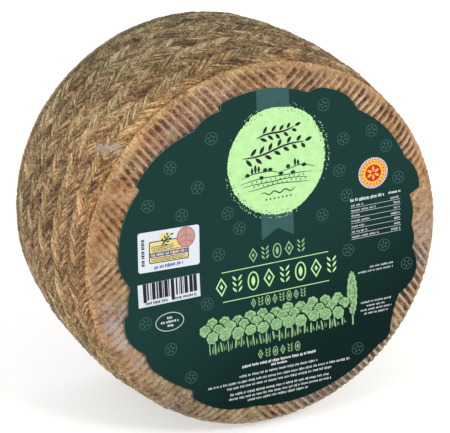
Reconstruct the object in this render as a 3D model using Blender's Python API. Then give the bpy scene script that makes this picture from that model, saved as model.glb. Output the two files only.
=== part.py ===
"""A wheel of hard pressed cheese that stands on its rim.

The side carries the print of a plaited grass band, the two faces carry the
print of ridged boards, and a scalloped film label with a small sticker on it
covers the middle of the front face.

Frame: +Z up, wheel axis along Y, labelled face towards -Y, origin at the
bottom centre of the whole, on the floor. Lengths are in metres.
"""
import math

import bmesh
import bpy

# Wheel
WHEEL_RADIUS = 0.095
WHEEL_HEIGHT = 0.1076
SIDE_BULGE = 0.0037
CORNER_RADIUS = 0.0087
FLAT_SPOT_DEPTH = 0.0016

# Plaited print on the side
PLAIT_BANDS = 5
PLAIT_PITCH = 0.0178
PLAIT_MARGIN = 0.0077
STRANDS_AROUND = 60
STRAND_LEAN = math.radians(5.7)
SEAM_DEPTH = 0.0014
STRAND_DEPTH = 0.0010
CROWN_DEPTH = 0.0005

# Ridged print on both faces
RIDGE_DEPTH = 0.0010
LINES_PER_HALF_QUARTER = 34
RIDGE_TURN = math.radians(84.0)
RIDGE_CORNER_TURNS = (math.radians(24.0), math.radians(46.0))
RIDGE_CORNER_SHARES = (0.8, 0.2)
PLAIN_CORNER_TURN = math.radians(68.0)

# Label and sticker
TOUCH_GAP = 0.0003
FILM_THICKNESS = 0.0003
STICKER_SIZE = (0.0307, 0.0197)
STICKER_CENTRE = (-0.0509, 0.0108)
STICKER_TILT = math.radians(-2.0)
STICKER_CORNER = 0.0012
WELD_DISTANCE = 0.00001

# Each lobe of the label's edge: start and end angle in degrees, start and end
# radius and the height of its swell, all three as shares of the wheel's radius
LABEL_LOBES = (
    (12.0, 25.0, 0.858, 0.839, 0.018),
    (25.0, 52.0, 0.839, 0.822, 0.012),
    (52.0, 73.0, 0.822, 0.818, 0.042),
    (73.0, 106.0, 0.818, 0.834, 0.014),
    (106.5, 118.5, 0.801, 0.784, 0.012),
    (118.5, 146.0, 0.784, 0.832, 0.012),
    (146.5, 184.0, 0.801, 0.748, 0.036),
    (184.0, 194.0, 0.748, 0.788, 0.004),
    (194.5, 211.0, 0.808, 0.803, 0.024),
    (211.0, 236.5, 0.803, 0.803, 0.022),
    (237.0, 262.0, 0.835, 0.831, 0.019),
    (262.0, 313.0, 0.831, 0.866, 0.004),
    (313.0, 321.0, 0.866, 0.850, 0.022),
    (321.0, 332.0, 0.850, 0.805, -0.010),
    (332.0, 350.0, 0.805, 0.805, 0.050),
    (350.0, 359.0, 0.805, 0.790, 0.010),
    (359.0, 371.0, 0.790, 0.795, 0.011),
)
LABEL_STEP = 2.5

# Frame: half of what stands proud of the front face is taken off at the back
LABEL_STACK = 2.0 * (TOUCH_GAP + FILM_THICKNESS)
AXIS_HEIGHT = WHEEL_RADIUS - FLAT_SPOT_DEPTH
MID_Y = LABEL_STACK / 2.0
HALF_HEIGHT = WHEEL_HEIGHT / 2.0
FRONT_Y = MID_Y - HALF_HEIGHT
SIDE_END = HALF_HEIGHT - CORNER_RADIUS
FACE_RADIUS = WHEEL_RADIUS - SIDE_BULGE - CORNER_RADIUS

RIND_COLOUR = (0.27, 0.18, 0.085, 1.0)
LABEL_COLOUR = (0.013, 0.052, 0.038, 1.0)
STICKER_COLOUR = (0.78, 0.78, 0.75, 1.0)


def clear_scene():
    """Remove every object of the open scene."""
    for thing in list(bpy.data.objects):
        bpy.data.objects.remove(thing, do_unlink=True)


def new_collection(name):
    """Return a new collection under the scene's own one."""
    collection = bpy.data.collections.new(name)
    bpy.context.scene.collection.children.link(collection)
    return collection


def new_material(name, colour, roughness):
    """Return a plain, non-metallic surface."""
    material = bpy.data.materials.new(name)
    material.use_nodes = True
    shader = material.node_tree.nodes["Principled BSDF"]
    shader.inputs["Base Color"].default_value = colour
    shader.inputs["Roughness"].default_value = roughness
    shader.inputs["Metallic"].default_value = 0.0
    return material


def side_point(y, depth):
    """Radius on the bulged side at y from mid-height, sunk by depth."""
    reach = abs(y)
    if reach <= SIDE_END:
        return WHEEL_RADIUS - SIDE_BULGE * (y / SIDE_END) ** 2 - depth
    over = min(reach - SIDE_END, CORNER_RADIUS)
    return FACE_RADIUS + math.sqrt(CORNER_RADIUS ** 2 - over ** 2) - depth


def corner_point(turn, depth):
    """Radius and distance from mid-height on the rounded corner.

    A turn of 0 is the edge of the flat face, a quarter turn is the side.
    """
    reach = CORNER_RADIUS - depth
    radius = FACE_RADIUS + reach * math.sin(turn)
    return radius, SIDE_END + reach * math.cos(turn)


def add_point(mesh, angle, radius, y):
    """Add one vertex at an angle about the wheel's axis."""
    x = radius * math.cos(angle)
    z = AXIS_HEIGHT + radius * math.sin(angle)
    return mesh.verts.new((x, MID_Y + y, z))


def plait_rows():
    """List the rings of the plait: y, share of lean, depths of the two column kinds."""
    front = PLAIT_MARGIN - HALF_HEIGHT
    rows = []
    for band in range(PLAIT_BANDS):
        start = front + band * PLAIT_PITCH
        rows.append((start, 0.0, SEAM_DEPTH, SEAM_DEPTH))
        rows.append((start + 0.25 * PLAIT_PITCH, 0.5, 0.0, STRAND_DEPTH))
        rows.append((start + 0.5 * PLAIT_PITCH, 1.0, CROWN_DEPTH, CROWN_DEPTH))
        rows.append((start + 0.75 * PLAIT_PITCH, 0.5, STRAND_DEPTH, 0.0))
    rows.append((front + PLAIT_BANDS * PLAIT_PITCH, 0.0, SEAM_DEPTH, SEAM_DEPTH))
    return rows


def add_plait(mesh):
    """Build the plaited side and return its rings, from front to back."""
    columns = 2 * STRANDS_AROUND
    rings = []
    for y, lean, even_depth, odd_depth in plait_rows():
        ring = []
        for column in range(columns):
            angle = math.tau * column / columns + lean * STRAND_LEAN
            depth = odd_depth if column % 2 else even_depth
            ring.append(add_point(mesh, angle, side_point(y, depth), y))
        rings.append(ring)
    for near, far in zip(rings, rings[1:]):
        join_rings(mesh, near, far)
    return rings


def join_rings(mesh, near, far):
    """Join two rings with the same number of points by a strip of quads."""
    count = len(near)
    for index in range(count):
        after = (index + 1) % count
        mesh.faces.new((near[index], near[after], far[after], far[index]))


def ring_angle(vertex):
    """Angle of a vertex about the wheel's axis, from 0 to a full turn."""
    return math.atan2(vertex.co.z - AXIS_HEIGHT, vertex.co.x) % math.tau


def zip_rings(mesh, fine, coarse):
    """Join two rings with different numbers of points by a strip of triangles."""
    fine = sorted(fine, key=ring_angle)
    coarse = sorted(coarse, key=ring_angle)
    taken_fine = 0
    taken_coarse = 0
    while taken_fine < len(fine) or taken_coarse < len(coarse):
        here_fine = fine[taken_fine % len(fine)]
        here_coarse = coarse[taken_coarse % len(coarse)]
        next_fine = fine[(taken_fine + 1) % len(fine)]
        next_coarse = coarse[(taken_coarse + 1) % len(coarse)]
        fine_angle = ring_angle(next_fine) + math.tau * ((taken_fine + 1) // len(fine))
        coarse_angle = ring_angle(next_coarse) + math.tau * ((taken_coarse + 1) // len(coarse))
        fine_first = taken_coarse >= len(coarse) or fine_angle <= coarse_angle
        if fine_first and taken_fine < len(fine):
            mesh.faces.new((here_fine, next_fine, here_coarse))
            taken_fine += 1
        else:
            mesh.faces.new((here_fine, next_coarse, here_coarse))
            taken_coarse += 1


def ridge_depth(line):
    """Depth of one line of a ridged face: even lines are tops, odd ones valleys."""
    return RIDGE_DEPTH if line % 2 else 0.0


def edge_turn(line):
    """Angle from a quarter's middle at which a line meets the face's edge."""
    return math.asin(math.sin(math.pi / 4.0) * line / LINES_PER_HALF_QUARTER)


def add_ridged_face(mesh, side):
    """Build one ridged face and its ridged corner, and return its outer ring.

    The face has four quarters. In each the ridges run parallel to the
    quarter's middle, and they meet in V shapes on the lines between quarters.
    """
    count = LINES_PER_HALF_QUARTER
    quarter = math.pi / 2.0
    centre = add_point(mesh, 0.0, 0.0, side * HALF_HEIGHT)
    spokes = []
    for index in range(4):
        angle = RIDGE_TURN + index * quarter
        spoke = [centre]
        for line in range(1, count + 1):
            radius = FACE_RADIUS * line / count
            spoke.append(add_point(mesh, angle, radius, side * (HALF_HEIGHT - ridge_depth(line))))
        spokes.append(spoke)
    edge = []
    for index in range(4):
        first = spokes[index]
        second = spokes[(index + 1) % 4]
        middle = RIDGE_TURN + (index + 0.5) * quarter
        rim = [first[count]]
        for line in range(1 - count, count):
            turn = math.copysign(edge_turn(abs(line)), line)
            y = side * (HALF_HEIGHT - ridge_depth(abs(line)))
            rim.append(add_point(mesh, middle + turn, FACE_RADIUS, y))
        rim.append(second[count])
        for line in range(count):
            add_strip(mesh, first[line], first[line + 1], rim[count - line - 1], rim[count - line])
            add_strip(mesh, second[line], second[line + 1], rim[count + line + 1], rim[count + line])
        edge.extend(rim[:-1])
    return add_ridged_corner(mesh, side, edge)


def add_strip(mesh, inner, next_inner, next_outer, outer):
    """Add the strip between two ridge lines, a triangle where they meet at the edge."""
    corners = [inner, next_inner, next_outer, outer]
    if next_inner is next_outer:
        corners.remove(next_outer)
    mesh.faces.new(corners)


def add_ridged_corner(mesh, side, edge):
    """Let the ridges run out over the corner and return the last ring."""
    angles = [ring_angle(vertex) for vertex in edge]
    last = edge
    for turn, share in zip(RIDGE_CORNER_TURNS, RIDGE_CORNER_SHARES):
        ring = []
        for index, angle in enumerate(angles):
            radius, reach = corner_point(turn, share * ridge_depth(index))
            ring.append(add_point(mesh, angle, radius, side * reach))
        join_rings(mesh, last, ring)
        last = ring
    return last


def add_plain_ring(mesh, side, pattern):
    """Add the plain ring of the corner, at the angles of the plait's end ring."""
    radius, reach = corner_point(PLAIN_CORNER_TURN, 0.0)
    return [add_point(mesh, ring_angle(vertex), radius, side * reach) for vertex in pattern]


def build_wheel(collection, cutters):
    """Build the cheese: plaited side, two ridged faces and a flat spot below."""
    mesh = bmesh.new()
    rings = add_plait(mesh)
    for side, end_ring in ((-1.0, rings[0]), (1.0, rings[-1])):
        ridged = add_ridged_face(mesh, side)
        plain = add_plain_ring(mesh, side, end_ring)
        zip_rings(mesh, ridged, plain)
        join_rings(mesh, plain, end_ring)
    bmesh.ops.recalc_face_normals(mesh, faces=mesh.faces)
    data = bpy.data.meshes.new("cheese_wheel")
    mesh.to_mesh(data)
    mesh.free()
    data.shade_smooth()
    data.set_sharp_from_angle(angle=math.radians(50.0))
    wheel = bpy.data.objects.new("cheese_wheel", data)
    collection.objects.link(wheel)
    data.materials.append(new_material("rind", RIND_COLOUR, 0.75))
    add_flat_spot(wheel, cutters)
    return wheel


def add_flat_spot(wheel, cutters):
    """Cut the small flat spot on which the wheel stands."""
    size = WHEEL_RADIUS
    bpy.ops.mesh.primitive_cube_add(size=2.0 * size, location=(0.0, 0.0, -size))
    cutter = bpy.context.active_object
    cutter.name = "flat_spot_cutter"
    for home in list(cutter.users_collection):
        home.objects.unlink(cutter)
    cutters.objects.link(cutter)
    cutter.hide_render = True
    cutter.display_type = "WIRE"
    cut = wheel.modifiers.new("flat_spot", "BOOLEAN")
    cut.operation = "DIFFERENCE"
    cut.solver = "EXACT"
    cut.object = cutter


def label_outline():
    """List the points of the label's edge, as x and height about the wheel's axis."""
    points = []
    for start, end, start_radius, end_radius, swell in LABEL_LOBES:
        steps = max(2, round((end - start) / LABEL_STEP))
        for step in range(steps + 1):
            share = step / steps
            angle = math.radians(start + share * (end - start))
            radius = start_radius + share * (end_radius - start_radius)
            radius += swell * math.sin(math.pi * share)
            radius *= WHEEL_RADIUS
            points.append((radius * math.cos(angle), radius * math.sin(angle)))
    return drop_repeats(points)


def drop_repeats(points):
    """Drop each point that repeats the one before it."""
    kept = []
    for index, point in enumerate(points):
        before = points[index - 1]
        if math.dist(point, before) > TOUCH_GAP:
            kept.append(point)
    return kept


def sticker_outline():
    """List the points of the sticker's rounded edge, about its own centre."""
    points = []
    width, height = STICKER_SIZE
    arc_steps = 4
    corners = ((1.0, 1.0, 0.0), (-1.0, 1.0, 0.5), (-1.0, -1.0, 1.0), (1.0, -1.0, 1.5))
    for right, up, start in corners:
        centre_x = right * (width / 2.0 - STICKER_CORNER)
        centre_y = up * (height / 2.0 - STICKER_CORNER)
        for step in range(arc_steps + 1):
            angle = math.pi * (start + 0.5 * step / arc_steps)
            x = centre_x + STICKER_CORNER * math.cos(angle)
            y = centre_y + STICKER_CORNER * math.sin(angle)
            points.append((x, y))
    return points


def build_film(name, points, centre, tilt, lift, material, collection):
    """Build one flat film from its outline, with its back at lift off the face."""
    curve = bpy.data.curves.new(name, "CURVE")
    curve.dimensions = "2D"
    curve.fill_mode = "BOTH"
    curve.extrude = FILM_THICKNESS / 2.0
    spline = curve.splines.new("POLY")
    spline.points.add(len(points) - 1)
    for point, place in zip(spline.points, points):
        point.co = (place[0], place[1], 0.0, 1.0)
    spline.use_cyclic_u = True
    curve.materials.append(material)
    film = bpy.data.objects.new(name, curve)
    depth = FRONT_Y - lift - FILM_THICKNESS / 2.0
    film.location = (centre[0], depth, AXIS_HEIGHT + centre[1])
    film.rotation_euler = (math.pi / 2.0, -tilt, 0.0)
    collection.objects.link(film)
    weld = film.modifiers.new("weld", "WELD")
    weld.merge_threshold = WELD_DISTANCE
    return film


def main():
    """Build the whole part."""
    clear_scene()
    collection = new_collection("cheese_wheel")
    cutters = new_collection("cutters")
    build_wheel(collection, cutters)
    green = new_material("label_film", LABEL_COLOUR, 0.4)
    white = new_material("sticker_film", STICKER_COLOUR, 0.5)
    build_film("face_label", label_outline(), (0.0, 0.0), 0.0, TOUCH_GAP, green, collection)
    sticker_lift = 2.0 * TOUCH_GAP + FILM_THICKNESS
    build_film("control_sticker", sticker_outline(), STICKER_CENTRE, STICKER_TILT,
               sticker_lift, white, collection)


main()
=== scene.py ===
import math

import bmesh
import bpy
import numpy as np
from bpy.props import FloatProperty, FloatVectorProperty, IntProperty, PointerProperty
from bpy.types import Operator, Panel, PropertyGroup
from mathutils import Matrix, Vector, noise


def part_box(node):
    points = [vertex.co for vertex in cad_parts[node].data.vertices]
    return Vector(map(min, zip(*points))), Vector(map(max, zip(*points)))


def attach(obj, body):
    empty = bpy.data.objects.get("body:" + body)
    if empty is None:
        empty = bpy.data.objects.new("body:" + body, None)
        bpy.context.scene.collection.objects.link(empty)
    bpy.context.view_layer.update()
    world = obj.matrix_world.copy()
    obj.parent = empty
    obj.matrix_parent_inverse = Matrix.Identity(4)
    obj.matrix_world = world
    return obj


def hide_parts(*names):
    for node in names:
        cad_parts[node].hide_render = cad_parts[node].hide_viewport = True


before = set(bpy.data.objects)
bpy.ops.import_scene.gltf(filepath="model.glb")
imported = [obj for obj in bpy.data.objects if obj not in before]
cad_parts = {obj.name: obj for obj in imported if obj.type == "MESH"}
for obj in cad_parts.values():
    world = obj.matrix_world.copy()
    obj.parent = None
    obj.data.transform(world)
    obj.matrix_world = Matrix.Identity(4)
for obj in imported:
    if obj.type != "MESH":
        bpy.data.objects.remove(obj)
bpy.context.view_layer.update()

bl_info = {
    "name": "Cheese wheel",
    "version": (1, 0, 0),
    "blender": (4, 5, 0),
    "location": "3D View > Sidebar > Cheese wheel",
    "description": "Models the rind, label, sticker and stage of a wheel of hard cheese",
    "category": "Object",
}

# Places read from the frame, in metres
WHEEL_LOW, WHEEL_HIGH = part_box("cheese_wheel")
STICKER_LOW, STICKER_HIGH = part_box("control_sticker")
WHEEL_RADIUS = (WHEEL_HIGH.x - WHEEL_LOW.x) / 2.0
HALF_HEIGHT = (WHEEL_HIGH.y - WHEEL_LOW.y) / 2.0
MID_Y = (WHEEL_HIGH.y + WHEEL_LOW.y) / 2.0
AXIS_HEIGHT = WHEEL_HIGH.z - WHEEL_RADIUS
FRONT_Y = WHEEL_LOW.y
MILLIMETRE = 0.001

# The wheel's form, as in the solid
SIDE_BULGE = 0.0037
CORNER_RADIUS = 0.0087
SIDE_END = HALF_HEIGHT - CORNER_RADIUS
FACE_RADIUS = WHEEL_RADIUS - SIDE_BULGE - CORNER_RADIUS

# The plaited print: bands across the side, half bands of slanting strands
PLAIT_BANDS = 5
PLAIT_PITCH = 0.0178
PLAIT_MARGIN = 0.0077
STRANDS_AROUND = 60
COLUMNS_PER_STRAND = 20
SIDE_COLUMNS = STRANDS_AROUND * COLUMNS_PER_STRAND
HALF_BANDS = 2 * PLAIT_BANDS
HALF_BAND_SHARES = np.array((0.0, 0.12, 0.3, 0.53, 0.78, 1.0))
HALF_BAND_ROWS = len(HALF_BAND_SHARES) - 1
STRAND_LEAN = math.radians(5.7)
# How far a strand's edge strays, in columns, how far it bows, in strands, and its tone
STRAND_JITTER = 3.0
STRAND_BOW = 0.12
STRAND_TONE = 0.25
# How far the seams wave, and over how many columns
SEAM_WAVE = 0.0007
SEAM_PERIOD = 110
# Strands that pass over and under: least and most relief, and how far their tone is raised and lowered as
# painted light and shade
OVER_RELIEF = (0.6, 1.2)
UNDER_RELIEF = (0.3, 1.0)
OVER_PAINTED_LIGHT = 0.22
# Blades of a strand: fewest and one past the most, their widths and their tone
BLADE_COUNTS = (5, 9)
BLADE_WIDTHS = (0.7, 1.3)
BLADE_TONE = 0.7

# The ridged print: four quarters of parallel ridges on each face
RIDGE_TURN = math.radians(83.0)
RIDGE_LINES_PER_HALF_QUARTER = 34
STEPS_PER_LINE = 3
LINE_PITCH = FACE_RADIUS * math.sin(math.pi / 4.0) / RIDGE_LINES_PER_HALF_QUARTER
QUARTER_STEPS = 2 * RIDGE_LINES_PER_HALF_QUARTER * STEPS_PER_LINE
QUARTER = math.pi / 2.0
COVERED_RADIUS = 0.7 * WHEEL_RADIUS
# Angle in degrees and half length of the places where the front's ridges are rubbed down
RUBBED_SPOTS = ((3.0, 0.0180), (150.0, 0.004), (236.0, 0.004))
# Stretches of the ridges, from and to angle in degrees: worn low and with broad dull tops,
# both on the front alone, then at their deepest, and ending early on the corner
WORN = (174.0, 234.0)
BROAD = (140.0, 262.0)
CRISP = (266.0, 344.0)
CRUMBLY = (126.0, 190.0)
WORN_AMOUNT = 0.55
STRETCH_EASE = 16.0
CORNER_EASE = 14.0
# Rows of the grids that the faces and corners are made of
FRONT_CORNER_ROWS = 13
BACK_CORNER_ROWS = 7
COVERED_FACE_ROWS = 12
OPEN_FACE_ROWS = 11
FRONT_CORNER_TURN = math.radians(70.0)
BACK_CORNER_TURN = math.radians(88.0)
# Distance within which vertices count as one, and the relief that is stored as 1
MERGE_DISTANCE = 0.000002
FULL_RELIEF = 0.0022


# Sizes and colours that a user would change

def a_length(name, words, value):
    """A length in metres."""
    return FloatProperty(name=name, description=words, default=value, subtype="DISTANCE", unit="LENGTH")


def an_angle(name, words, degrees):
    """An angle, given in degrees."""
    value = math.radians(degrees)
    return FloatProperty(name=name, description=words, default=value, subtype="ANGLE", unit="ROTATION")


def a_colour(name, words, *shade):
    """A colour, given as its red, green and blue."""
    return FloatVectorProperty(name=name, description=words, default=shade, subtype="COLOR", size=3)


class RindSettings(PropertyGroup):
    """Relief and colours of the rind."""

    seam_depth: a_length("Seam depth", "How deep the seams between the plait's bands are", 0.0013)
    strand_depth: a_length("Strand depth", "How deep the grooves between strands are", 0.0005)
    blade_depth: a_length("Blade depth", "How deep the grooves between the blades of a strand are", 0.0009)
    under_depth: a_length("Under depth", "How far strands that pass under lie below the others", 0.0003)
    crown_depth: a_length("Crown depth", "How far the strands dip where they meet in a band", 0.0005)
    ridge_depth: a_length("Ridge depth", "How deep the valleys of the ridged faces are", 0.0013)
    ragged_depth: a_length("Ragged depth", "How ragged the strands are from place to place", 0.00010)
    crumb_depth: a_length("Crumb depth", "How deep the crumbs of the side's worn parts are", 0.0010)
    grain_depth: a_length("Grain depth", "How deep the crumbly grain of the corners is", 0.00045)
    seed: IntProperty(name="Seed", description="Start of the random draws for the strands", default=7)
    shadow: a_colour("Shadow", "Bottom of the grooves", 0.058, 0.034, 0.029)
    brown: a_colour("Brown", "Darker strands of the plait", 0.160, 0.098, 0.051)
    olive: a_colour("Olive", "Usual colour of the plait", 0.302, 0.206, 0.104)
    straw: a_colour("Straw", "Light strands of the plait", 0.510, 0.392, 0.216)
    cream: a_colour("Cream", "Lightest flecks of the plait", 0.720, 0.630, 0.440)
    rust: a_colour("Rust", "Reddish patches and valleys", 0.130, 0.062, 0.030)
    tan: a_colour("Tan", "Usual colour of the ridges and corners", 0.288, 0.168, 0.084)
    pale: a_colour("Pale", "Tops of the ridges", 0.405, 0.268, 0.156)
    # Colour of the painted highlight along the ridges' crests
    painted_highlight: a_colour("Wax", "Waxy highlights along the ridges", 0.490, 0.400, 0.330)
    bloom: a_colour("Bloom", "Greyish waxy film in patches", 0.345, 0.318, 0.318)


class PrintSettings(PropertyGroup):
    """Films and inks of the label and the sticker."""

    film_thickness: a_length("Film thickness", "Thickness of the label and of the sticker", 0.0003)
    ink_height: a_length("Ink height", "How far each layer of print stands proud", 0.00003)
    ground: a_colour("Ground", "Dark green of the label", 0.0047, 0.0228, 0.0196)
    # The label's gradient down to this colour is partly painted shade
    deep: a_colour("Deep", "Darkest green, towards the label's lower right", 0.0008, 0.0104, 0.0091)
    ribbon: a_colour("Ribbon", "Teal ribbon behind the disc", 0.0275, 0.0790, 0.0750)
    lime: a_colour("Lime", "Light green disc and ornaments", 0.375, 0.620, 0.280)
    leaf: a_colour("Leaf", "Pale green of the small ornaments and the grove", 0.222, 0.385, 0.182)
    white: a_colour("White", "White print", 0.530, 0.570, 0.570)
    mark: a_colour("Mark", "Faint sprigs scattered over the label", 0.040, 0.092, 0.085)
    haze: a_colour("Haze", "Thin flecks of half dry ink round the disc", 0.085, 0.190, 0.125)
    paper: a_colour("Paper", "Cool white paper of the sticker", 0.500, 0.540, 0.590)
    edge: a_colour("Edge", "Pale cut edge of the label's film", 0.260, 0.310, 0.280)
    straw: a_colour("Straw", "Pale yellow field of the sticker", 0.610, 0.510, 0.210)
    black: a_colour("Black", "Dark print on white and lime", 0.012, 0.013, 0.018)
    yellow: a_colour("Yellow", "Yellow of the round seal", 0.640, 0.400, 0.060)
    red: a_colour("Red", "Red of the round seal and of the sticker's thin lines", 0.450, 0.016, 0.020)
    blue: a_colour("Blue", "Blue of the sticker", 0.045, 0.055, 0.270)
    pink: a_colour("Pink", "Pink disc of the sticker", 0.370, 0.240, 0.208)


class StageSettings(PropertyGroup):
    """Camera and floor."""

    azimuth: an_angle("Azimuth", "How far the camera stands to the left of the label's normal", 22.68)
    elevation: an_angle("Elevation", "How far the camera looks down", 20.79)
    roll: an_angle("Roll", "How far the camera leans", -2.67)
    distance: a_length("Distance", "From the camera to the middle of the wheel", 1.2637)
    shift_right: a_length("Shift right", "How far the view's middle lies beside the wheel's", 0.00079)
    shift_up: a_length("Shift up", "How far the view's middle lies above the wheel's", -0.00091)
    lens: FloatProperty(name="Lens", description="Focal length on a 36 mm wide sensor", default=206.76)
    floor: a_colour("Floor", "Colour of the floor", 0.60, 0.60, 0.60)
    floor_glow: FloatProperty(
        name="Floor glow", description="How brightly the floor is lit from below", default=0.480)


# Helpers for meshes

def deselect_all():
    """Leave nothing selected, so that an operator acts on its own piece alone."""
    for thing in bpy.context.selected_objects:
        thing.select_set(False)


def take(piece):
    """Make one object the only selected and active one."""
    deselect_all()
    piece.select_set(True)
    bpy.context.view_layer.objects.active = piece


def read_points(mesh):
    """Read a mesh's vertices as an array of rows."""
    flat = np.empty(len(mesh.vertices) * 3, np.float64)
    mesh.vertices.foreach_get("co", flat)
    return flat.reshape(-1, 3)


def write_points(mesh, points):
    """Write an array of rows back to a mesh's vertices."""
    mesh.vertices.foreach_set("co", np.ascontiguousarray(points, np.float32).ravel())
    mesh.update()


def add_grid(name, columns, rows):
    """Add a grid primitive and return it with each vertex's column and row."""
    deselect_all()
    bpy.ops.mesh.primitive_grid_add(x_subdivisions=columns, y_subdivisions=rows, size=1.0)
    sheet = bpy.context.active_object
    sheet.name = name
    points = read_points(sheet.data)
    column = np.rint((points[:, 0] + 0.5) * columns).astype(int)
    row = np.rint((points[:, 1] + 0.5) * rows).astype(int)
    return sheet, column, row


def write_shade(mesh, name, values):
    """Store one number for each vertex under a name that a material reads."""
    layer = mesh.attributes.get(name) or mesh.attributes.new(name, "FLOAT", "POINT")
    layer.data.foreach_set("value", np.ascontiguousarray(values, np.float32))


def write_uv(mesh, values):
    """Store the strand map: two numbers for each face corner, in millimetres."""
    layer = mesh.uv_layers.get("strands") or mesh.uv_layers.new(name="strands")
    layer.uv.foreach_set("vector", np.ascontiguousarray(values, np.float32).ravel())


def corner_vertices(mesh):
    """Read the vertex of each face corner."""
    corners = np.empty(len(mesh.loops), np.int64)
    mesh.loops.foreach_get("vertex_index", corners)
    return corners


def face_corners(mesh):
    """Read the vertex of each corner of a mesh of quads, four to a row."""
    return corner_vertices(mesh).reshape(-1, 4)


def smooth_step(values):
    """Ease from 0 to 1 and stay there on both sides."""
    share = np.clip(values, 0.0, 1.0)
    return share * share * (3.0 - 2.0 * share)


def grain(points, size, octaves, shift):
    """Fractal noise at each point, about -1 to 1, with features of the given size."""
    offset = Vector((shift, 2.0 * shift, 3.0 * shift))
    scale = 1.0 / size
    return np.array([noise.fractal(Vector(p) * scale + offset, 0.9, 2.1, octaves) for p in points])


def wave(count, period, generator):
    """A smooth random row of numbers, about -1 to 1, that closes on itself."""
    knots = max(4, round(count / period))
    values = generator.uniform(-1.0, 1.0, knots)
    place = np.arange(count) * knots / count
    first = place.astype(int)
    share = smooth_step(place - first)
    return values[first % knots] * (1.0 - share) + values[(first + 1) % knots] * share


def smooth_ring(values, width):
    """Average a closed row of numbers over a few neighbours."""
    kernel = np.ones(width) / width
    padded = np.concatenate((values[-(width // 2):], values, values[:width - 1 - width // 2]))
    return np.convolve(padded, kernel, mode="valid")


def merge_and_turn_out(piece):
    """Merge doubled vertices and point every face outwards."""
    take(piece)
    bpy.ops.object.mode_set(mode="EDIT")
    bpy.ops.mesh.select_all(action="SELECT")
    bpy.ops.mesh.remove_doubles(threshold=MERGE_DISTANCE)
    bpy.ops.mesh.normals_make_consistent(inside=False)
    bpy.ops.object.mode_set(mode="OBJECT")


# The rind's form

def side_radius(y):
    """Radius of the bulged side at y from mid-height, and of its rounded ends."""
    reach = np.abs(y)
    side = WHEEL_RADIUS - SIDE_BULGE * (reach / SIDE_END) ** 2
    over = np.clip(reach - SIDE_END, 0.0, CORNER_RADIUS)
    corner = FACE_RADIUS + np.sqrt(CORNER_RADIUS ** 2 - over ** 2)
    return np.where(reach <= SIDE_END, side, corner)


def wheel_points(angle, radius, y):
    """Points at an angle about the wheel's axis, y from mid-height."""
    x = radius * np.cos(angle)
    z = AXIS_HEIGHT + radius * np.sin(angle)
    return np.stack((x, MID_Y + y, z), axis=-1)


# Spots of waxy bloom: angle about the axis in degrees, distance from the front
# face, half length round the wheel, half width across it, strength
BLOOM_SPOTS = (
    (139.0, 0.0115, 0.0020, 0.0042, 1.2),
    (140.4, 0.0165, 0.0020, 0.0042, 1.2),
    (141.8, 0.0220, 0.0020, 0.0042, 1.2),
    (190.0, 0.0005, 0.0040, 0.0022, 0.5),
    (195.5, 0.0005, 0.0065, 0.0020, 0.75),
    (203.0, 0.0003, 0.0075, 0.0014, 0.8),
    (213.0, 0.0003, 0.0060, 0.0012, 0.55),
    (120.0, 0.0005, 0.0300, 0.0020, 0.25),
    (352.0, 0.0020, 0.0200, 0.0040, 0.45),
    (290.0, 0.0015, 0.0300, 0.0040, 0.35),
)


def bloom_amount(points):
    """How much waxy bloom lies at each point."""
    angle = np.arctan2(points[:, 2] - AXIS_HEIGHT, points[:, 0])
    front = points[:, 1] - FRONT_Y
    total = np.zeros(len(points))
    for degrees, distance, half_length, half_width, strength in BLOOM_SPOTS:
        turn = turn_from(angle, degrees)
        reach = (turn * WHEEL_RADIUS / half_length) ** 2 + ((front - distance) / half_width) ** 2
        total = np.maximum(total, strength * np.exp(-(reach ** 1.5)))
    return total


def write_bloom(mesh):
    """Write how much waxy bloom each vertex carries."""
    points = read_points(mesh)
    total = bloom_amount(points)
    radius = np.hypot(points[:, 0], points[:, 2] - AXIS_HEIGHT)
    total[radius < COVERED_RADIUS] = 0.0
    write_shade(mesh, "bloom", total)


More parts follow.
